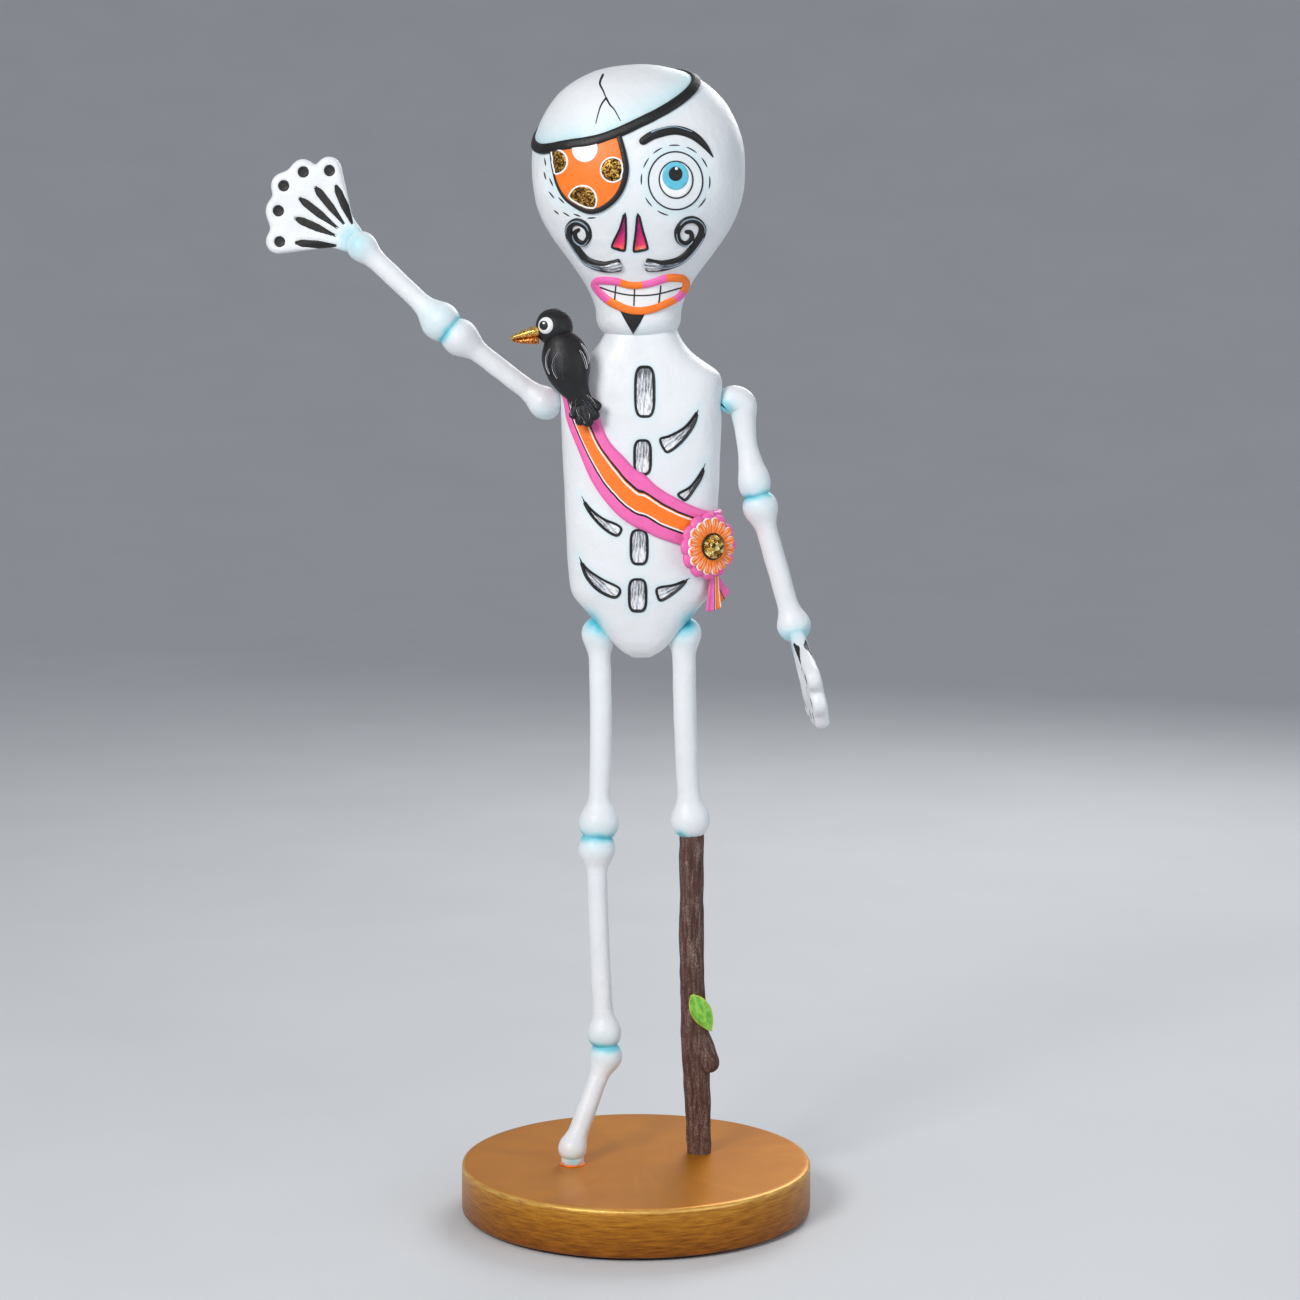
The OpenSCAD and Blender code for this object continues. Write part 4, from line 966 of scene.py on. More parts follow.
def make_arms():
    elbow = (-86, 8, 390.9)
    way = (-0.8, 0, 0.6)
    spots = [(elbow, 1.6, 0.55, way), ((-91, 4, 394.5), 9, 0.25), ((-128, 2, 430), 6, 0.4)]
    humerus = tube(bone_rows((-42.4, 8, 357.2), (-81.2, 8, 387.2), 8.2, 9.4, 4.9, 0.92), side=(0, 1, 0))
    top = [((-42, 3, 352), 5, 0.2)]
    paper_piece("raised_humerus", [humerus], "raised_arm", ["raised_humerus"], spots + top)
    forearm = bone_rows((-90.5, 8, 394.9), (-126, 8, 428.8), 9.9, 7.6, 4.7, 0.92)
    forearm = tube(forearm, side=(0, 1, 0), seed=5)
    paper_piece("raised_forearm", [forearm], "raised_arm", ["raised_forearm"], spots)
    elbow, wrist = (56.5, 8, 314.4), (74.5, 7.4, 249)
    way = (0.25, 0, -1)
    spots = [(elbow, 1.7, 0.5, way), (elbow, 7, 0.2, way), (wrist, 4.5, 0.42, way),
             ((40.5, 3, 355), 4.5, 0.75)]
    hook = smooth([[39.2, 8, 354.5, 4.6, 6.4], [41, 8, 356.6, 5.6, 7], [45.4, 8, 358.6, 6.7, 7.4],
                   [49.4, 8, 356, 6.7, 7], [50.2, 8, 350, 5.6, 5.8], [51, 8, 343, 4.9, 4.9],
                   [52, 8, 336, 4.8, 4.7], [53.2, 8, 329.5, 5.7, 5.4], [54.6, 8, 323, 7.3, 6.8],
                   [55.4, 8, 318, 7.4, 7], [56.2, 8, 314, 5.6, 5.4], [56.5, 8, 312.4, 2.4, 2.4]], 5)
    shoulder = tube(hook, side=(0.7, 0, 0.7), seed=3)
    paper_piece("hanging_humerus", [shoulder], "hanging_arm", ["hanging_humerus"], spots)
    forearm = bone_rows((57.9, 8, 308.6), (73.8, 8, 253.4), 8.2, 7.9, 4.9, 0.92)
    paper_piece("hanging_forearm", [tube(forearm, seed=6)], "hanging_arm", ["hanging_forearm"], spots)


# Each finger's angle from the hand's axis and how far its tip's centre is from the wrist.
FINGERS = [(-31, 39), (-16, 44.6), (-2, 46.6), (12.5, 43), (32, 39.2)]
TIP_R, DOT_R, HAND_T = 5.4, 2.7, 7


def polar(r, degrees):
    """A point in the hand's plane."""
    return np.array([r * math.cos(math.radians(degrees)), r * math.sin(math.radians(degrees))])


def softened(corners, step, rounds):
    """A closed outline in even steps with its corners rounded off."""
    points = straight(corners, step)
    for _ in range(rounds):
        points = (np.roll(points, 1, 0) + 2 * points + np.roll(points, -1, 0)) / 4
    return points


def hand_outline():
    """Up one side of the hand, round the five fingertips and down the other side."""
    points = [np.array([3.5, -5.8]), np.array([12, -8.3])]
    for i, (angle, distance) in enumerate(FINGERS):
        tip = polar(distance, angle)
        before = -82 if i == 0 else -58
        after = 82 if i == len(FINGERS) - 1 else 58
        points += [tip + polar(TIP_R + 0.5, angle + turn) for turn in np.linspace(before, after, 9)]
    points += [np.array([12, 8.3]), np.array([3.5, 5.8])]
    return softened(points, 0.8, 10)


def hand_height(uv, outline):
    """Half thickness of the hand, with sunk dots and grooves."""
    inside = np.clip(depth_inside(uv, outline) / 2.6, 0, 1)
    out = HAND_T / 2 * (0.3 + 0.7 * np.sqrt(1 - (1 - inside) ** 2))
    for angle, distance in FINGERS:
        away = np.linalg.norm(uv - polar(distance - 1, angle), axis=1)
        out -= 1.1 * np.clip((DOT_R + 0.2 - away) / 0.9, 0, 1)
        way = polar(1, angle)
        along, off = uv @ way, np.abs(uv @ np.array([-way[1], way[0]]))
        t = (along - distance * 0.29) / (distance * 0.5)
        width = 2.1 * np.clip(0.25 + t * 1.6, 0, 1) * np.sqrt(np.clip((1 - t) * 6, 0, 1)) * (t > 0)
        out -= 0.9 * np.clip((width - off) / 0.8 + 0.25, 0, 1) * (width > 0.05)
    return out


class Plate:
    """The front or back of a flat hand, as a surface to paint on."""

    def __init__(self, outline, frame_rows, face):
        self.outline, self.rows, self.face = outline, frame_rows, face

    def place(self, uv, lift=0.0):
        wrist, x, y, z = self.rows
        up = (hand_height(uv, self.outline) + lift) * self.face
        return wrist + uv[:, :1] * x + uv[:, 1:] * y + up[:, None] * z


def hand_mesh(outline, frame_rows):
    """Both faces of the hand and the rim between them."""
    uv, skin_faces = filled(outline, [shrunk(outline, by) for by in (0.35, 0.9, 1.7)], 0.8, 2.2)
    front, back = (Plate(outline, frame_rows, face).place(uv) for face in (1, -1))
    edges = {edge for f in skin_faces for edge in zip(f, f[1:] + f[:1])}
    border = sorted((a, b) for a, b in edges if (b, a) not in edges)
    return joined_skins(front, back, skin_faces, border)


def make_hand(name, body, wrist, axis, facing):
    """A fan-shaped hand. axis runs from the wrist to the fingers, and facing is the way its front looks."""
    x = unit(np.array(axis, float))
    z = unit(np.array(facing, float) - np.dot(facing, x) * x)
    frame_rows = (np.array(wrist, float), x, np.cross(z, x), z)
    outline = hand_outline()
    points, faces = hand_mesh(outline, frame_rows)
    points = points + lumps(points, 9, 0.25, 2)[:, None] * z
    spots = [(np.array(wrist) + x * 6, 7, 0.6)]
    add_piece(name, points, faces, [WHITE], body, [name],
              values={"wash": washed(points, spots)})
    paint = Batch([BLACK])
    for face in (1, -1):
        plate = Plate(outline, frame_rows, face)
        for angle, distance in FINGERS:
            dot = polar(distance - 1, angle)
            paint.patch(plate, ellipse(dot[0], dot[1], DOT_R, DOT_R, 28), BLACK, 0.4, cell=0.6)
            t = np.linspace(0.04, 0.96, 18)
            half = 1.9 * np.clip(0.25 + t * 1.6, 0, 1) * np.sqrt(np.clip((1 - t) * 6, 0.05, 1))
            paint.stroke(plate, [polar(distance * (0.29 + 0.5 * s), angle) for s in t], half, BLACK, 0.5)
    paint.piece(name + "_paint", body, "black_paint")


# ---- Stick, leaf and base ----

def make_stick():
    rows = smooth([[30, 12, -11.6, 5.6, 5.6], [30, 12, 2, 5.7, 5.6], [29.6, 11.8, 16, 5.9, 5.7],
                   [28.9, 11.5, 36, 6.3, 5.9], [28, 10.8, 56, 6.7, 6.1], [27.2, 10.2, 72, 6, 5.6],
                   [26.4, 9.6, 90, 5.6, 5.4], [26.2, 9.4, 108, 5.9, 5.5], [26.4, 9.4, 124, 5.6, 5.6],
                   [26.1, 9.2, 142, 5.8, 5.5], [26.2, 9.2, 155, 5.7, 5.6]], 12)
    knot = bone_rows((28.2, 10.5, 62), (34.6, 7.9, 45.2), 4.4, 5.3, 5.0)
    points, faces = merged([tube(rows, 56, bumpy=0.45), tube(knot, 40, seed=8, bumpy=0.5)])
    around = points - [28, 10.5, 0]
    ridges = np.sin(np.arctan2(around[:, 1], around[:, 0]) * 13 + points[:, 2] * 0.04)
    points[:, :2] += unit(around[:, :2]) * (0.12 * ridges)[:, None]
    add_piece("stick", points, faces, [BARK], "figure", ["stick_leg"])


def make_leaf():
    """A small leaf that is folded a little along its vein."""
    rows, cols = 24, 11
    t = np.linspace(0, 1, rows)
    half = 4.9 * np.sin(math.pi * np.clip(t, 0.02, 0.985) ** 0.9) ** 0.75
    u = np.linspace(-1, 1, cols)
    x = half[:, None] * u[None]
    z = np.repeat(np.linspace(9.8, -9.8, rows)[:, None], cols, 1)
    off_vein = np.abs(u)[None]
    y = 0.9 * off_vein * half[:, None] / 4.9 - 0.3 * np.cos(6 * math.pi * t)[:, None] * off_vein
    x, z = turned(x, z, math.radians(28))
    flat = np.stack([x, y, z], -1)
    centre = np.array([31, 3.2, 70])
    front, back = ((centre + flat + [0, y, 0]).reshape(-1, 3) for y in (-0.7, 0.6))
    points, faces = two_sided(front, back, rows, cols)
    rim = (1 - off_vein) * half[:, None] / 1.8
    vein = off_vein * half[:, None] / 1.6 + 0.2
    side_veins = np.abs(np.sin(9 * t[:, None] * math.pi * 0.55 - off_vein * 2.4)) * 1.6 + 0.24
    edge = np.minimum(np.minimum(rim, vein), side_veins).reshape(-1)
    add_piece("leaf", points, faces, [LEAF], "figure", ["leaf"],
              values={"edge": np.tile(edge, 2)})


def make_base():
    """A turned disc with a rounded, slightly worn edge, and a hole for the stick."""
    profile = [(0.4, -22.5), (40, -22.5), (79, -22.5), (81.8, -22.3), (82.4, -21.6), (82.5, -20.6),
               (82.55, -14), (82.5, -8), (82.45, -2.2), (82.4, -1.3), (82.05, -0.6), (81.4, -0.15),
               (80.6, 0), (79, 0.02), (60, 0), (40, 0), (20, 0), (0.4, 0)]
    sides = 320
    points = lathe(profile, turns(sides))
    rim = np.clip((np.hypot(points[:, 0], points[:, 1]) - 78) / 3, 0, 1)
    worn = np.clip(lumps(points, 6, 1, 5) - 0.35, 0, 1) * np.exp(-((points[:, 2] + 0.8) / 1.4) ** 2)
    points[:, :2] *= 1 + (rim * (lumps(points * [1, 1, 0], 30, 0.2) - worn * 0.9) / 82.5)[:, None]
    points[:, 2] -= worn * rim * 0.35
    faces = closed_faces(len(profile), sides)
    # Painted highlight: a bright band along the rounded top edge, passed to the paint as its edge value.
    glint = np.exp(-((points[:, 2] + 0.9) / 0.9) ** 2) * (rim > 0.95)
    base = add_piece("base", points, faces, [GOLD], "figure", ["base_disc"],
                     values={"edge": glint})
    cut_stick_hole(base)


def cut_stick_hole(base):
    """Cuts the uneven hole for the stick into the base's mesh."""
    hole, hole_faces = tube([[30, 12, -12.3, 6, 6], [30, 12, -6, 6.1, 6.1], [30, 12, -1, 6.2, 6.2],
                             [30, 12, -0.4, 6.3, 6.3], [30, 12, 3, 7.6, 7.4]], 56, bumpy=0.35)
    cutter = bpy.data.objects.new("hole", bpy.data.meshes.new("hole"))
    cutter.data.from_pydata(in_scene(hole), [], hole_faces)
    bpy.context.scene.collection.objects.link(cutter)
    cut = base.modifiers.new("hole", "BOOLEAN")
    cut.operation, cut.object, cut.solver = "DIFFERENCE", cutter, "EXACT"
    bpy.context.view_layer.update()
    done = bpy.data.meshes.new_from_object(base.evaluated_get(bpy.context.evaluated_depsgraph_get()))
    base.modifiers.clear()
    base.data = done
    bpy.data.objects.remove(cutter)


def make_glue():
    """An uneven bead of orange glue round the foot."""
    middle = np.array([-29.9, -8, 0.25])
    sides = 8
    glue = smooth([middle + [5.5 * math.cos(t), 5.4 * math.sin(t), 0] for t in turns(23)], 3, True)
    size = 0.5 + lumps(glue, 3, 0.5, 11)
    c, s = np.cos(turns(sides))[None, :, None], np.sin(turns(sides))[None, :, None]
    out = c * unit(glue - middle)[:, None] + s * np.array([0, 0, 0.7])
    ring = glue[:, None] + size[:, None, None] * out
    faces = grid_faces(len(glue), sides, True, True)
    add_piece("glue", ring.reshape(-1, 3), faces, [ORANGE], "figure")


# ---- Head: strap, eyepatch and face ----

STRAP_LEVEL, STRAP_RISE_X, STRAP_RISE_Y = 496.9, 0.42, 0.43


def strap_gap(p):
    """Height of each point above the strap's middle, a plane that rises a little over the eyepatch."""
    raised = 2.0 * np.exp(-((p[:, 0] + 32) / 12) ** 2) * (p[:, 1] < 2)
    above = p[:, 2] - STRAP_LEVEL - STRAP_RISE_X * p[:, 0] - STRAP_RISE_Y * p[:, 1] - raised
    return above / math.sqrt(1 + STRAP_RISE_X ** 2 + STRAP_RISE_Y ** 2)


def section_strip(middle, side, out, half, lifts, steps):
    """Points of a band: out and side are its directions at each point of its middle line."""
    return (middle[:, None] + np.array(steps)[None, :, None] * half * side[:, None]
            + np.array(lifts)[None, :, None] * out[:, None]).reshape(-1, 3)


def make_strap():
    angles = angles_of(HEAD, 485, 260)
    low, high = np.full(len(angles), 454.0), np.full(len(angles), CROWN - 0.1)
    for _ in range(30):
        level = (low + high) / 2
        above = strap_gap(HEAD.around(angles, level)) > 0
        low, high = np.where(above, low, level), np.where(above, level, high)
    middle = HEAD.around(angles, level)
    out = HEAD.normal(middle)
    middle = middle + out * HEAD.pushed(middle)[:, None]
    side = unit(np.cross(out, np.roll(middle, -1, 0) - np.roll(middle, 1, 0)))
    steps = [-1, -0.97, -0.8, -0.4, 0, 0.4, 0.8, 0.97, 1, 0.6, -0.6]
    lifts = [-0.3, 1.0, 1.6, 1.85, 1.9, 1.85, 1.6, 1.0, -0.3, -0.5, -0.5]
    height = np.interp(middle[:, 1], [-20, 8], [0.85, 0.45])[:, None]
    points = section_strip(middle, side, out * height, 2.3, lifts, steps)
    points = points + lumps(points, 5, 0.18, 4)[:, None]
    faces = grid_faces(len(angles), len(steps), True, True)
    add_piece("strap", points, faces, [BLACK], "figure", ["patch_strap"])


def clipped(points, outline, margin, centre):
    """Pulls the points of a circle in towards its centre until they lie inside an outline."""
    out = points.copy()
    for _ in range(30):
        outside = depth_inside(out, outline) < margin
        out[outside] += (np.array(centre) - out[outside]) * 0.06
    return out


# Each dot's centre, radius and paint, its distance from the patch's edge, and the point it is drawn in to.
PATCH_DOTS = [(-35, 465.6, 5.2, GLITTER, 0.7, (-32, 465.6)),
              (-9.9, 461.7, 5.2, GLITTER, 1.4, (-11.9, 461.7)),
              (-23.2, 448.6, 6.2, GLITTER, 1.4, (-23.2, 451.1)),
              (-22, 470.8, 5.2, BRIGHT, 1.4, (-22, 468.8))]


def make_eyepatch():
    edge = smooth([[-7.6, 477.6], [-5.2, 469], [-4.1, 461.4], [-5.8, 454.2], [-9.3, 448.9], [-14.8, 444.9],
                   [-20.3, 443.8], [-25.9, 446], [-31.4, 450.1], [-35.1, 456.5], [-36.9, 463.8],
                   [-37.6, 471]], 5)
    top = np.array([[-34, 473.4], [-28, 474.2], [-21, 475.4], [-14, 476.8]])
    outline = np.concatenate([edge, top])
    patch = Batch([ORANGE, BLACK, GLITTER, BRIGHT])
    patch.patch(HEAD, outline, ORANGE, 0.95, edge=0.7)
    t = np.linspace(0, 1, len(edge))
    half = np.interp(t, [0, 0.1, 0.5, 0.72, 0.85, 1], [1.1, 1.35, 1.25, 0.75, 0.4, 0.35])
    patch.stroke(HEAD, edge, half, BLACK, 0.55, 0.75)
    for x, z, r, kind, margin, inside in PATCH_DOTS:
        circle = clipped(ellipse(x, z, r, r * 1.02, 40), outline, margin, inside)
        patch.patch(HEAD, circle, kind, 0.3, 0.95)
        patch.stroke(HEAD, circle, 0.42, BRIGHT, 0.3, 1.05, closed=True)
    patch.piece("eyepatch", "figure", "orange_paint", ["eyepatch"])


# The dashes round the open eye: the angle of each one's middle and half the angle it takes up.
EYE_DASHES = [(150, 9), (122, 9), (92, 9), (62, 10), (32, 9), (-2, 10), (-38, 10), (-112, 10), (-142, 9),
              (178, 9)]
# The dashes round the eyepatch, from end to end.
PATCH_DASHES = [
    ((-40.9, 467.6), (-40.4, 464.2)), ((-41.2, 461.6), (-40.2, 458)), ((-38.6, 458.6), (-37, 455)),
    ((-38.8, 452.6), (-36.4, 449.6)), ((-34.4, 449.9), (-31.8, 447.4)), ((-32.4, 443.4), (-29.4, 441.6)),
    ((-27.4, 442.6), (-24.4, 441.5)), ((-21.4, 440.7), (-17.6, 440.8)), ((-36.6, 444.4), (-34.4, 442.6))]
# The forked crack on the forehead: three lines that meet, each with its half width where it begins.
CRACK_FORK = [-13, 493.8]
CRACKS = [([[-14.6, 505], [-15.9, 500.9], [-14.4, 497.4], CRACK_FORK], 0.62),
          ([CRACK_FORK, [-15, 491], [-16.2, 487.8], [-17.5, 482.3]], 0.5),
          ([CRACK_FORK, [-11.2, 490.6], [-9.4, 488.6], [-6.6, 483.5]], 0.5)]


def paint_eye(face):
    x, z = EYE
    face.stroke(HEAD, ellipse(x, z, 12.1, 12.7, 72), 0.36, BLACK, 0.3, closed=True)
    face.patch(HEAD, ellipse(x + 0.2, z + 0.4, 7.4, 8), BRIGHT, 0.2)
    face.stroke(HEAD, ellipse(x + 0.2, z + 0.4, 7.5, 8.1, 56), 0.34, BLACK, 0.35, closed=True)
    face.patch(HEAD, ellipse(x - 0.1, z + 2.1, 6.1, 6.4), IRIS, 0.38)
    face.patch(HEAD, ellipse(x - 0.1, z + 3.0, 3.3, 3.4, 32), BLACK, 0.58)
    face.patch(HEAD, ellipse(x + 0.3, z + 5.3, 0.95, 0.9, 20), BRIGHT, 0.75, cell=0.6)
    for middle, spread in EYE_DASHES:
        a = np.radians(np.linspace(middle - spread, middle + spread, 7))
        dash = np.stack([x + 15.3 * np.cos(a), z + 15.6 * np.sin(a)], 1)
        face.stroke(HEAD, dash, [0.1, 0.26, 0.32, 0.34, 0.32, 0.26, 0.1], BLACK, 0.2)


def paint_patch_dashes(face):
    for a, b in PATCH_DASHES:
        a, b = np.array(a), np.array(b)
        dash = [a, a * 0.7 + b * 0.3, a * 0.3 + b * 0.7, b]
        face.stroke(HEAD, dash, [0.14, 0.34, 0.34, 0.12], BLACK, 0.18)


def paint_nose(face):
    for outline in NOSE_OUTLINES:
        middle = outline.mean(0)
        face.patch(HEAD, middle + (outline - middle) * 0.97, NOSE, 0.35, cell=0.6)
        face.stroke(HEAD, middle + (outline - middle) * [0.93, 1.01], 0.6, BLACK, 0.5, closed=True)


def paint_goatee(face):
    goatee = straight([[-7.4, 399.6], [4.8, 398.8], [2.2, 393.8], [-1.1, 388.6], [-4.3, 394]], 0.8)
    face.patch(HEAD, goatee, BLACK, 0.4, cell=0.8)


def paint_cracks(face):
    for path, half in CRACKS:
        path = smooth(path, 5)
        face.stroke(HEAD, path, np.linspace(half, half * 0.45, len(path)), BLACK, 0.2)


def make_face():
    face = Batch([BLACK, BRIGHT, IRIS, NOSE, SILVER])
    for paint in (paint_eye, paint_patch_dashes, paint_nose, paint_goatee, paint_cracks):
        paint(face)
    face.piece("face_paint", "figure", "black_paint")


def make_eyebrow():
    rows = smooth([[3.6, 474.4, 1.9], [8.5, 477.2, 2.1], [17.5, 479.2, 2.1], [25.2, 477.2, 1.9],
                   [30.7, 472.8, 1.3], [34.6, 467.8, 0.3]], 6)
    brow = Batch([BLACK, BLUE_GREY])
    brow.stroke(HEAD, rows[:, :2], rows[:, 2], BLACK, 1.5)
    shine = smooth([[7.4, 478], [12, 479.6], [18, 480.3], [24.8, 478.3]], 6)
    brow.stroke(HEAD, shine, np.linspace(0.42, 0.15, len(shine)), BLUE_GREY, 0.25, 1.3)
    brow.piece("eyebrow", "figure", "black_paint", ["eyebrow"])


# Each side of the moustache, from its blunt inner end to the middle of its curl: x, z and half width.
MOUSTACHES = {
    "moustache_left": [[5.6, 420, 3.0], [9, 419.7, 2.7], [13, 419.9, 2.3], [20, 422.1, 1.95],
                       [25.4, 427, 1.8], [29.4, 432.9, 1.75], [29.9, 437.2, 1.7], [26.4, 439.9, 1.65],
                       [21.9, 439, 1.55], [18.9, 434.8, 1.45], [19.6, 430.8, 1.35], [22.7, 429.4, 1.25],
                       [25.3, 431.8, 1.15], [24.9, 434.3, 1.05], [23, 434.6, 0.9]],
    "moustache_right": [[-7.5, 419.9, 3.0], [-11, 419.4, 2.7], [-15, 419.5, 2.3], [-21.6, 421.8, 1.95],
                        [-26.2, 426.8, 1.8], [-29.3, 432.3, 1.75], [-29.6, 437, 1.7], [-26.1, 439.2, 1.65],
                        [-21.9, 437.1, 1.5], [-20.8, 432.7, 1.4], [-23.3, 429.6, 1.3], [-26.4, 431.2, 1.2],
                        [-27.2, 434.3, 1.1], [-25.5, 435.6, 0.9]]}


def make_moustache(name):
    rows = smooth(MOUSTACHES[name], 7)
    moustache = Batch([BLACK, BLUE_GREY, SILVER])
    moustache.stroke(HEAD, rows[:, :2], rows[:, 2], BLACK, 1.6, blunt=True)
    end = rows[1:24]
    taper = np.clip(np.linspace(1.25, 0.1, len(end)), 0, 1)
    moustache.stroke(HEAD, end[:, :2], end[:, 2] * 0.66 * taper, SILVER, 0.35, 1.45)
    outward = -1 if rows[0, 0] > 0 else 1
    for start, stop, off, wide in ((14, 36, 0.42, 0.3), (38, 60, 0.36, 0.26), (64, 84, 0.3, 0.22)):
        part = rows[start:stop]
        ahead = unit(np.gradient(part[:, :2], axis=0))
        shift = np.stack([-ahead[:, 1], ahead[:, 0]], 1) * outward * (off * part[:, 2:3])
        ends = np.sqrt(np.clip(np.minimum(np.arange(len(part)), np.arange(len(part))[::-1]) / 4, 0.1, 1))
        moustache.stroke(HEAD, part[:, :2] + shift, wide * ends, BLUE_GREY, 0.25, 1.35)
    moustache.piece(name, "figure", "black_paint", [name])


def make_lips():
    rows = smooth([[-18.4, 412.4, 1.6], [-10, 412.9, 1.7], [-1.8, 410.9, 1.5], [6.4, 411.8, 1.6],
                   [15, 414.3, 1.7], [22.6, 413.2, 1.7], [20.2, 406.8, 1.6], [14, 403, 1.8],
                   [6.2, 400, 1.9], [-1.6, 399.7, 1.9], [-9, 402.4, 2], [-14.8, 406.4, 1.8]], 8, True)
    lips = Batch([PINK, ORANGE, BRIGHT, BLACK])
    lips.patch(HEAD, rows[:, :2], BRIGHT, 0.35)
    upper = rows[:, 1] > 409
    x = rows[:, 0]
    pink = np.where(upper, ((x < -7.5) | ((x > 3) & (x < 13))), (x > 17.5) | (x < -11.5))
    lips.stroke(HEAD, rows[:, :2], rows[:, 2], PINK, 1.5, closed=True,
                kinds=[PINK if p else ORANGE for p in pink])
    line = smooth([[-15.9, 410.2], [-9.6, 408], [-1.3, 406.6], [8.9, 407], [21, 410.2]], 6)
    lips.stroke(HEAD, line, 0.34, BLACK, 0.25, 0.35)
    for bottom, top in (((-9.4, 404.6), (-8.8, 411)), ((-0.7, 402), (-0.4, 409.2)),
                        ((10.4, 402.6), (11.4, 410.8))):
        lips.stroke(HEAD, np.linspace(bottom, top, 8), 0.34, BLACK, 0.25, 0.36)
    lips.piece("lips", "figure", "orange_paint", ["lips"])


# ---- Torso: chest paint, sash, rosette and ribbon ----

def make_chest_paint():
    paint = Batch([BLACK, SILVER])
    for outline in SLOTS + RIBS:
        d = outline - outline.mean(0)
        axis = np.linalg.svd(d, full_matrices=False)[2][0]
        axis = axis * (1 if axis[1] > 0 else -1)
        paint.patch(TORSO, outline, BLACK, 0.3, cell=0.6)
        paint.patch(TORSO, shrunk(outline, 0.9), SILVER, 0.2, 0.3, cell=0.6, edge=0.25, axis=axis)
        paint.stroke(TORSO, shrunk(outline, 0.6), 0.76, BLACK, 0.55, closed=True)
    paint.piece("chest_paint", "figure", "black_paint")


def side_angle(x, z):
    """The angle in degrees, round the torso, of a front point at x. An x past the outline gives the side."""
    w, _ = TORSO.section(np.array(float(z)))
    u = max(-1, min(1, (x - TORSO.centre_x) / w))
    return 360 - math.degrees(math.acos(math.copysign(abs(u) ** (TORSO.squareness / 2), u)))


def make_sash():
    rows = [[-60, 368.5, -60, 378.5], [-32.4, 360, -25, 368.5], [-30.6, 350, -18.4, 355],
            [-26, 336.8, -12.6, 341.5], [-20, 322, -5.2, 333.1], [-11, 309.2, 1.6, 326.4],
            [-1.1, 301.3, 9.6, 320], [8.8, 296.6, 17.6, 314.9], [18.8, 293, 27, 310.2],
            [29, 289.4, 34, 308], [60, 287.5, 60, 308]]
    front = [[side_angle(a, b), b, side_angle(c, d), d] for a, b, c, d in rows]
    back = [[720 - r[0], r[1], 720 - r[2], r[3]] for r in front[-2:0:-1]]
    path = smooth(front + back + [[540, front[0][1], 540, front[0][3]]], 14)[:-1]
    q = np.concatenate([[0, 0.01, 0.035, 0.08], np.linspace(0.13, 0.87, 15), [0.92, 0.965, 0.99, 1],
                        [0.8, 0.5, 0.2]])
    lift = np.concatenate([[-0.3, 1.2, 2.0, 2.3], np.full(15, 2.4), [2.3, 2.0, 1.2, -0.3],
                           [-0.6, -0.6, -0.6]])
    angle = np.radians(path[:, :1] + (path[:, 2:3] - path[:, :1]) * q)
    z = path[:, 1:2] + (path[:, 3:4] - path[:, 1:2]) * q
    plain = TORSO.around(angle.ravel(), z.ravel())
    off = lumps(plain, 16, 0.35) + lumps(plain, 7, 0.12, 6) + np.tile(lift, len(path))
    points = plain + TORSO.normal(plain) * off[:, None]
    faces = [f[::-1] for f in grid_faces(len(path), len(q), True, True)]
    add_piece("sash", points, faces, [SASH], "figure", ["sash"],
              values={"across": np.tile(q, len(path))})


ROSETTE = np.array([33.2, -10.1, 292])
ROSETTE_TURN = math.radians(35)
ROSETTE_X = np.array([math.cos(ROSETTE_TURN), math.sin(ROSETTE_TURN), 0])
ROSETTE_Y = np.array([0.0, 0, 1])
ROSETTE_OUT = np.array([math.sin(ROSETTE_TURN), -math.cos(ROSETTE_TURN), 0])


def on_rosette(local):
    """Points in the figure's frame from points in the rosette's: right, up and outwards from its middle."""
    return ROSETTE + local[:, :1] * ROSETTE_X + local[:, 1:2] * ROSETTE_Y + local[:, 2:3] * ROSETTE_OUT


ROSETTE_SIDES = 192


def make_rosette_backing():
    """A scalloped disc with a rounded edge."""
    a = turns(ROSETTE_SIDES)
    radius = 14.1 + 1.5 * np.abs(np.cos(6 * a)) ** 0.7
    shares = np.append(np.linspace(0, 1, 15)[1:-1], [0.985, 1])
    rings = [(f, 2.4 * (1 - f ** 7) ** 0.5) for f in shares]
    top = [[r * f * math.cos(u), r * f * math.sin(u), z + 0.25 * math.cos(12 * u) * f ** 3]
           for f, z in rings for u, r in zip(a, radius)]
    under = [[r * f * math.cos(u), r * f * math.sin(u), 0] for f in (0.96, 0.4) for u, r in zip(a, radius)]
    points = np.array(top + under)
    faces = [f[::-1] for f in closed_faces(len(points) // ROSETTE_SIDES, ROSETTE_SIDES)]
    points[:, 2] += lumps(points, 4, 0.2, 8)
    add_piece("rosette_backing", on_rosette(points), faces, [PINK], "figure",
              ["rosette_backing"])


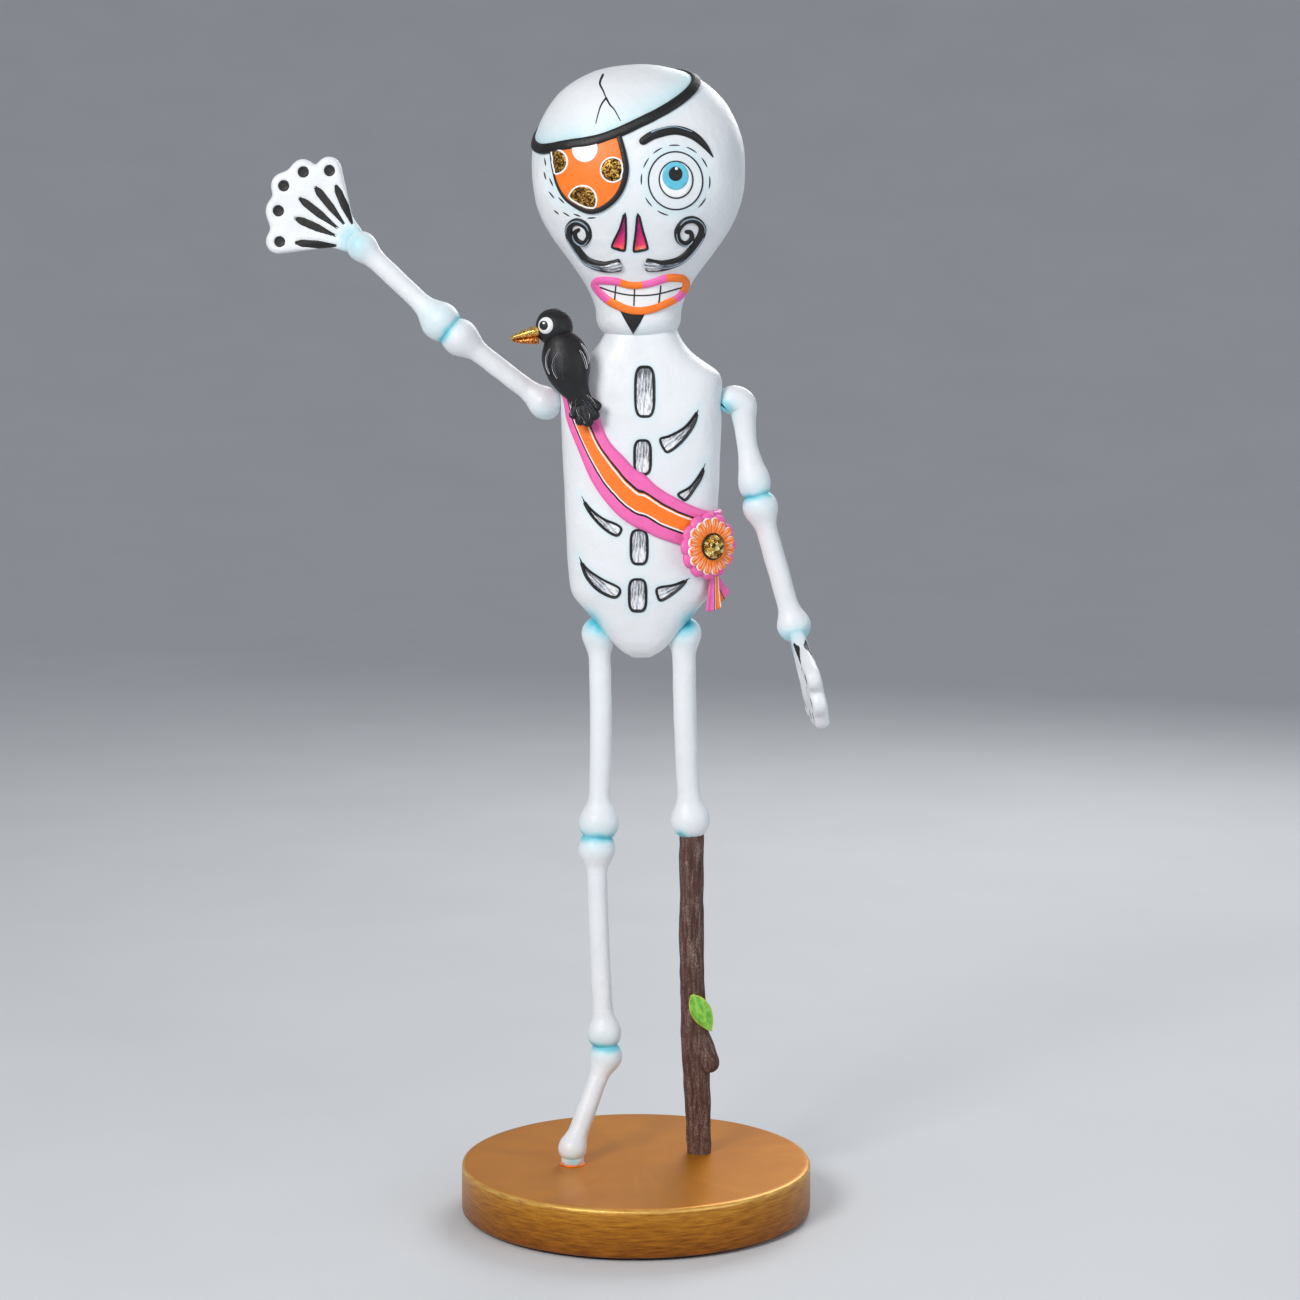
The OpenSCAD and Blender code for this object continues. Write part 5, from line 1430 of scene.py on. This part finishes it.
def petal(turn, start, s, u):
    """Points of one petal and how near each is to its painted rim. s goes along the petal and u across it."""
    half = (0.7 + 1.95 * s ** 0.8) * np.sqrt(np.clip(1 - np.clip((s - 0.7) / 0.3, 0, 1) ** 2.2, 0.0004, 1))
    x = np.repeat(start + 9.3 * s, len(u))
    half, s, u = half[:, None], s[:, None], u[None]
    y = (half * u).ravel()
    vein = 0.55 * np.exp(-(u / 0.22) ** 2) * np.clip(s * 1.4, 0, 1) * (s < 0.93)
    dome = 1.35 * np.sqrt(np.clip(1 - u ** 2, 0, 1)) * np.sqrt(half / 2.6) + 0.55 * (1 - s) ** 2 - vein
    points = np.stack([*turned(x, y, turn), 2.3 + dome.ravel()], 1)
    rim = np.minimum((1 - np.abs(u)) * half / 1.5, (1 - s) * 4.6) + np.clip((0.62 - s) * 2.4, 0, 1)
    stroke = np.abs(np.abs(u) - 0.4) * half / 0.5 + 0.14 + np.clip((0.5 - s) * 5, 0, 1)
    return points, np.minimum(rim, stroke + np.clip((s - 0.8) * 6, 0, 1)).ravel()


def make_rosette_petals():
    petals, rows, cols = 16, 16, 11
    local, skins, edges, count = [], [], [], 0
    for k in range(petals):
        turn = 2 * math.pi * (k + 0.5) / petals
        points, edge = petal(turn, 4 + 0.35 * math.sin(k * 2.3), np.linspace(0, 1, rows),
                             np.linspace(-1, 1, cols))
        local.append(points)
        edges.append(edge)
        skins += [tuple(i + count for i in f) for f in grid_faces(rows, cols)]
        count += rows * cols
    disc = lathe([(0.3, 3.3), (6, 3.2), (10, 2.75), (12, 2.4), (12.2, 1.8)], turns(ROSETTE_SIDES))
    skins += [tuple(i + count for i in f[::-1]) for f in grid_faces(5, ROSETTE_SIDES, wrap_cols=True)]
    points = np.concatenate(local + [disc])
    edge = np.concatenate(edges + [np.full(len(disc), 1.0)])
    add_piece("rosette_petals", on_rosette(points), [f[::-1] for f in skins], [PETAL], "figure",
              ["rosette_petals"], values={"edge": edge})


def make_rosette_button():
    """A dome of crumpled foil inside a black ring."""
    around, tube_sides = turns(ROSETTE_SIDES)[::2], 8
    shares = np.linspace(0.02, 1, 22)
    dome = lathe([(5.7 * g, 4.2 + 3.9 * math.sqrt(max(0, 1 - g * g))) for g in shares], around)
    dome += (dome - [0, 0, 3]) / 6 * (0.5 * np.abs(lumps(dome, 1.7, 1, 3)) - 0.12)[:, None]
    faces = [f[::-1] for f in closed_faces(len(shares), len(around))]
    add_piece("rosette_button", on_rosette(dome), faces, [FOIL], "figure", ["rosette_button"])
    section = [(5.85 + 0.42 * math.cos(v), 4.2 + 0.6 * math.sin(v)) for v in turns(tube_sides)]
    ring = np.concatenate([lathe(section, [u]) for u in around])
    faces = grid_faces(len(around), tube_sides, True, True)
    add_piece("rosette_ring", on_rosette(ring), faces, [BLACK], "figure")


def make_tail(name, material, turn, length, back):
    """A flared tail in pleats, hanging from behind the rosette."""
    rows, cols = 26, 25
    t, u = np.linspace(0, 1, rows)[:, None], np.linspace(-1, 1, cols)[None]
    half = 1.9 + 2.1 * t ** 1.2
    hem = 0.9 * (u + 1) + 0.9 * np.abs(u) ** 7
    y = 2 - (length + 2) * t + hem * t ** 4
    x = half * u + 0.4 * t
    z = 0.35 * np.cos(u * 2 * math.pi) * t * (1 - 0.3 * t) + 0.8
    x, y = turned(x, y, math.radians(turn))
    local = np.stack([x + 4.5, y - 13, z - back], -1).reshape(-1, 3)
    points, faces = two_sided(local, local - [0, 0, 1.3], rows, cols)
    across = np.broadcast_to((u + 1) / 2, (rows, cols)).reshape(-1)
    add_piece(name, on_rosette(points), faces, [material], "figure", [name],
              values={"across": np.tile(across, 2)})


# ---- Crow ----

def ball(centre, radii, seed=0.0, bumpy=0.15, count=36):
    rings = [(math.sin(v), -math.cos(v)) for v in np.linspace(0.02, math.pi - 0.02, count)]
    out = lathe(rings, turns(count * 2))
    points = np.array(centre) + out * np.array(radii)
    points += out * lumps(points, 6, bumpy, seed)[:, None]
    return points, closed_faces(count, count * 2)


# The strokes on the wings and tail: each one's path, half width and paint.
FEATHERS = [
    ([[-38.6, 382.4], [-40.2, 378.6], [-40.2, 374.6], [-38.8, 371]], 0.22, BRIGHT),
    ([[-35, 380.6], [-36.9, 376.6], [-37, 373], [-35.4, 369.2]], 0.36, BRIGHT),
    ([[-31.6, 378.6], [-32.6, 375.4], [-32.7, 371.8], [-32.3, 368.8]], 0.3, BLUE_GREY),
    ([[-24.6, 384.6], [-22.6, 381.6], [-21.4, 378.2], [-21.4, 375.8]], 0.24, BRIGHT),
    ([[-25.2, 381.6], [-23.6, 378.8], [-22.6, 375.8], [-22.2, 373.4]], 0.3, BRIGHT),
    ([[-26.8, 359.4], [-26.6, 355.6], [-25.4, 352.2], [-22.8, 348.8]], 0.3, BRIGHT),
    ([[-24, 359.4], [-22.4, 356], [-21.2, 352.6], [-21.6, 350.2]], 0.26, BRIGHT),
    ([[-22, 361.4], [-19.4, 358.4], [-17.4, 355.8]], 0.3, BRIGHT),
    ([[-21.8, 358.6], [-20.8, 355.4], [-18.8, 352.4]], 0.22, BLUE_GREY),
    ([[-20.8, 357.4], [-19.4, 354.8], [-18.2, 353.2]], 0.2, BLUE_GREY),
    ([[-28.8, 358.4], [-29.6, 354.6], [-29, 352.2]], 0.18, BRIGHT)]


def make_crow_body():
    torso = tube(smooth([[-35.8, -13.8, 389, 3, 3], [-35.2, -14.2, 387.5, 6.6, 6.2],
                         [-33.6, -15.4, 383.5, 9.4, 8.2], [-31.8, -16.4, 377.5, 10.8, 9],
                         [-30, -17.6, 371, 10, 8.2], [-28, -18.6, 365.5, 7.4, 6],
                         [-26, -19.2, 361.5, 5.4, 3.9], [-24.6, -19.5, 358, 5, 2.8],
                         [-24, -19.6, 355.8, 2, 1]], 7), 56, seed=3, bumpy=0.35)
    parts = [torso]
    tips = [((-28.6, -18.9, 350.6), 2.3), ((-24.8, -19.8, 347.6), 2.6), ((-20.8, -20.3, 347.2), 2.7),
            ((-17.4, -19.9, 350.4), 2.6), ((-15.8, -19.2, 355.2), 2.3)]
    root = np.array([-25.4, -19.2, 361.5])
    for k, (tip, r) in enumerate(tips):
        tip = np.array(tip)
        rows = [[*(root + (tip - root) * s), w * r, w * r * 0.8] for s, w in
                ((0, 0.5), (0.3, 0.85), (0.6, 1.0), (0.82, 1.02), (0.93, 0.85), (0.985, 0.5), (1, 0.15))]
        parts.append(tube(smooth(rows, 4), 24, seed=k, bumpy=0.12))
    points, faces = merged(parts)
    body = add_piece("crow_body", points, faces, [BLACK], "figure", ["crow_body"])
    points, faces = ball((-37, -13.2, 392), (8.6, 8.4, 8.6), 2, 0.3)
    add_piece("crow_head", points, faces, [BLACK], "figure", ["crow_head"])
    return body


def make_crow_beak():
    upper = tube(smooth([[-44, -14.2, 390.2, 2.6, 3.8], [-46.4, -14.3, 389.9, 2.6, 3.7],
                         [-50, -14.4, 389, 2.1, 3.1], [-54, -14.5, 387.9, 1.35, 2],
                         [-56.4, -14.5, 387.1, 0.8, 1.1], [-57, -14.5, 386.9, 0.2, 0.3]], 6), 32,
                 side=(0, 0, 1), bumpy=0.25)
    lower = tube(smooth([[-44, -14.2, 386.3, 2, 3.4], [-46.2, -14.3, 386.2, 2, 3.3],
                         [-50, -14.4, 385.9, 1.5, 2.7], [-54, -14.5, 385.8, 0.9, 1.6],
                         [-56, -14.5, 386, 0.3, 0.5]], 6), 32, side=(0, 0, 1), bumpy=0.25)
    points, faces = merged([upper, lower])
    kinds = [0] * len(upper[1]) + [1] * len(lower[1])
    add_piece("crow_beak", points, faces, [BEAK_GOLD, COPPER], "figure", ["crow_beak"], kinds)


def make_crow_eyes():
    """Two white balls, the nearer with a painted pupil."""
    eyes = []
    for angle in (241, 127):
        a = math.radians(angle)
        centre = (-37 + 6.2 * math.cos(a), -13 + 6.2 * math.sin(a), 392.7)
        eyes.append(ball(centre, (4.1, 4.1, 4.1), angle, 0.05, 24))
    points, faces = merged(eyes)
    eye_piece = add_piece("crow_eyes", points, faces, [BRIGHT], "figure", ["crow_eyes"])
    bpy.context.view_layer.update()
    ball_front = Cast(eye_piece)
    pupils = Batch([BLACK, BRIGHT, BLUE_GREY])
    pupils.patch(ball_front, ellipse(-41.5, 392.9, 2.15, 2.3, 28), BLACK, 0.2, cell=0.6)
    pupils.patch(ball_front, ellipse(-41.4, 393.9, 0.75, 0.7, 16), BRIGHT, 0.4, cell=0.4)
    pupils.piece("crow_pupils", "figure", "black_paint")


def make_crow_feathers(body):
    body_front = Cast(body)
    feathers = Batch([BLUE_GREY, BRIGHT])
    for path, half, kind in FEATHERS:
        path = smooth(path, 9)
        t = np.linspace(0, 1, len(path))
        taper = np.sqrt(np.clip(np.minimum(t, t[::-1]) * 5, 0.08, 1))
        feathers.stroke(body_front, path, half * taper * 1.35, kind, 0.38)
    feathers.piece("crow_feathers", "figure", "white_paint")


# ---- Everything ----

def dress_inner_nodes():
    """Materials for the nodes of part.scad that show inside, or through gaps."""
    inner = {"base_felt": FELT, "hip_block": WOOD, "spine_dowel": WOOD, "shoulder_dowel": WOOD,
             "head_block": WOOD}
    pins = {name: STEEL for name in frame["nodes"] if "_pin" in name}
    for name, material in (inner | pins).items():
        materials = frame["nodes"][name].data.materials
        materials.clear()
        materials.append(material)


def make_floor():
    """A plain round sweep: flat under the figure, then rising gently all round it."""
    flat, reach, rise, sides = 2.2, 6.2, 1.8, 96
    radii = np.concatenate([np.linspace(0.2, flat, 8), np.linspace(flat, reach, 17)[1:]])
    rings = [(r, rise * max(0.0, (r - flat) / (reach - flat)) ** 2) for r in radii]
    mesh = bpy.data.meshes.new("floor")
    mesh.from_pydata(lathe(rings, turns(sides)).tolist(), [], closed_faces(len(rings), sides)[:-1])
    mesh.flip_normals()
    mesh.materials.append(floor_paint())
    mesh.polygons.foreach_set("use_smooth", np.ones(len(mesh.polygons), bool))
    floor = bpy.data.objects.new("floor", mesh)
    bpy.context.scene.collection.objects.link(floor)


skin("torso", TORSO, 238.6, 396, 330, 290, ["torso_front", "torso_back"], torso_wash)
skin("head", HEAD, CHIN + 0.01, CROWN - 0.005, 464, 360, ["head_front", "head_back"], head_wash)
make_legs()
make_arms()
make_hand("raised_hand", "raised_arm", [-125.6, 8, 428.4], [-0.81, 0, 0.59], [0, -1, 0])
make_hand("hanging_hand", "hanging_arm", [73.8, 8, 253], [11, -18, -38], [1, -0.05, 0])
make_stick()
make_leaf()
make_base()
make_glue()
make_strap()
make_eyepatch()
make_face()
make_eyebrow()
for side in MOUSTACHES:
    make_moustache(side)
make_lips()
make_chest_paint()
make_sash()
make_rosette_backing()
make_rosette_petals()
make_rosette_button()
make_tail("ribbon_tail_inner", TAIL_INNER, -2, 18, 1.7)
make_tail("ribbon_tail_outer", TAIL_OUTER, 29, 15, 3.4)
crow_body = make_crow_body()
make_crow_beak()
make_crow_eyes()
make_crow_feathers(crow_body)
dress_inner_nodes()
make_floor()
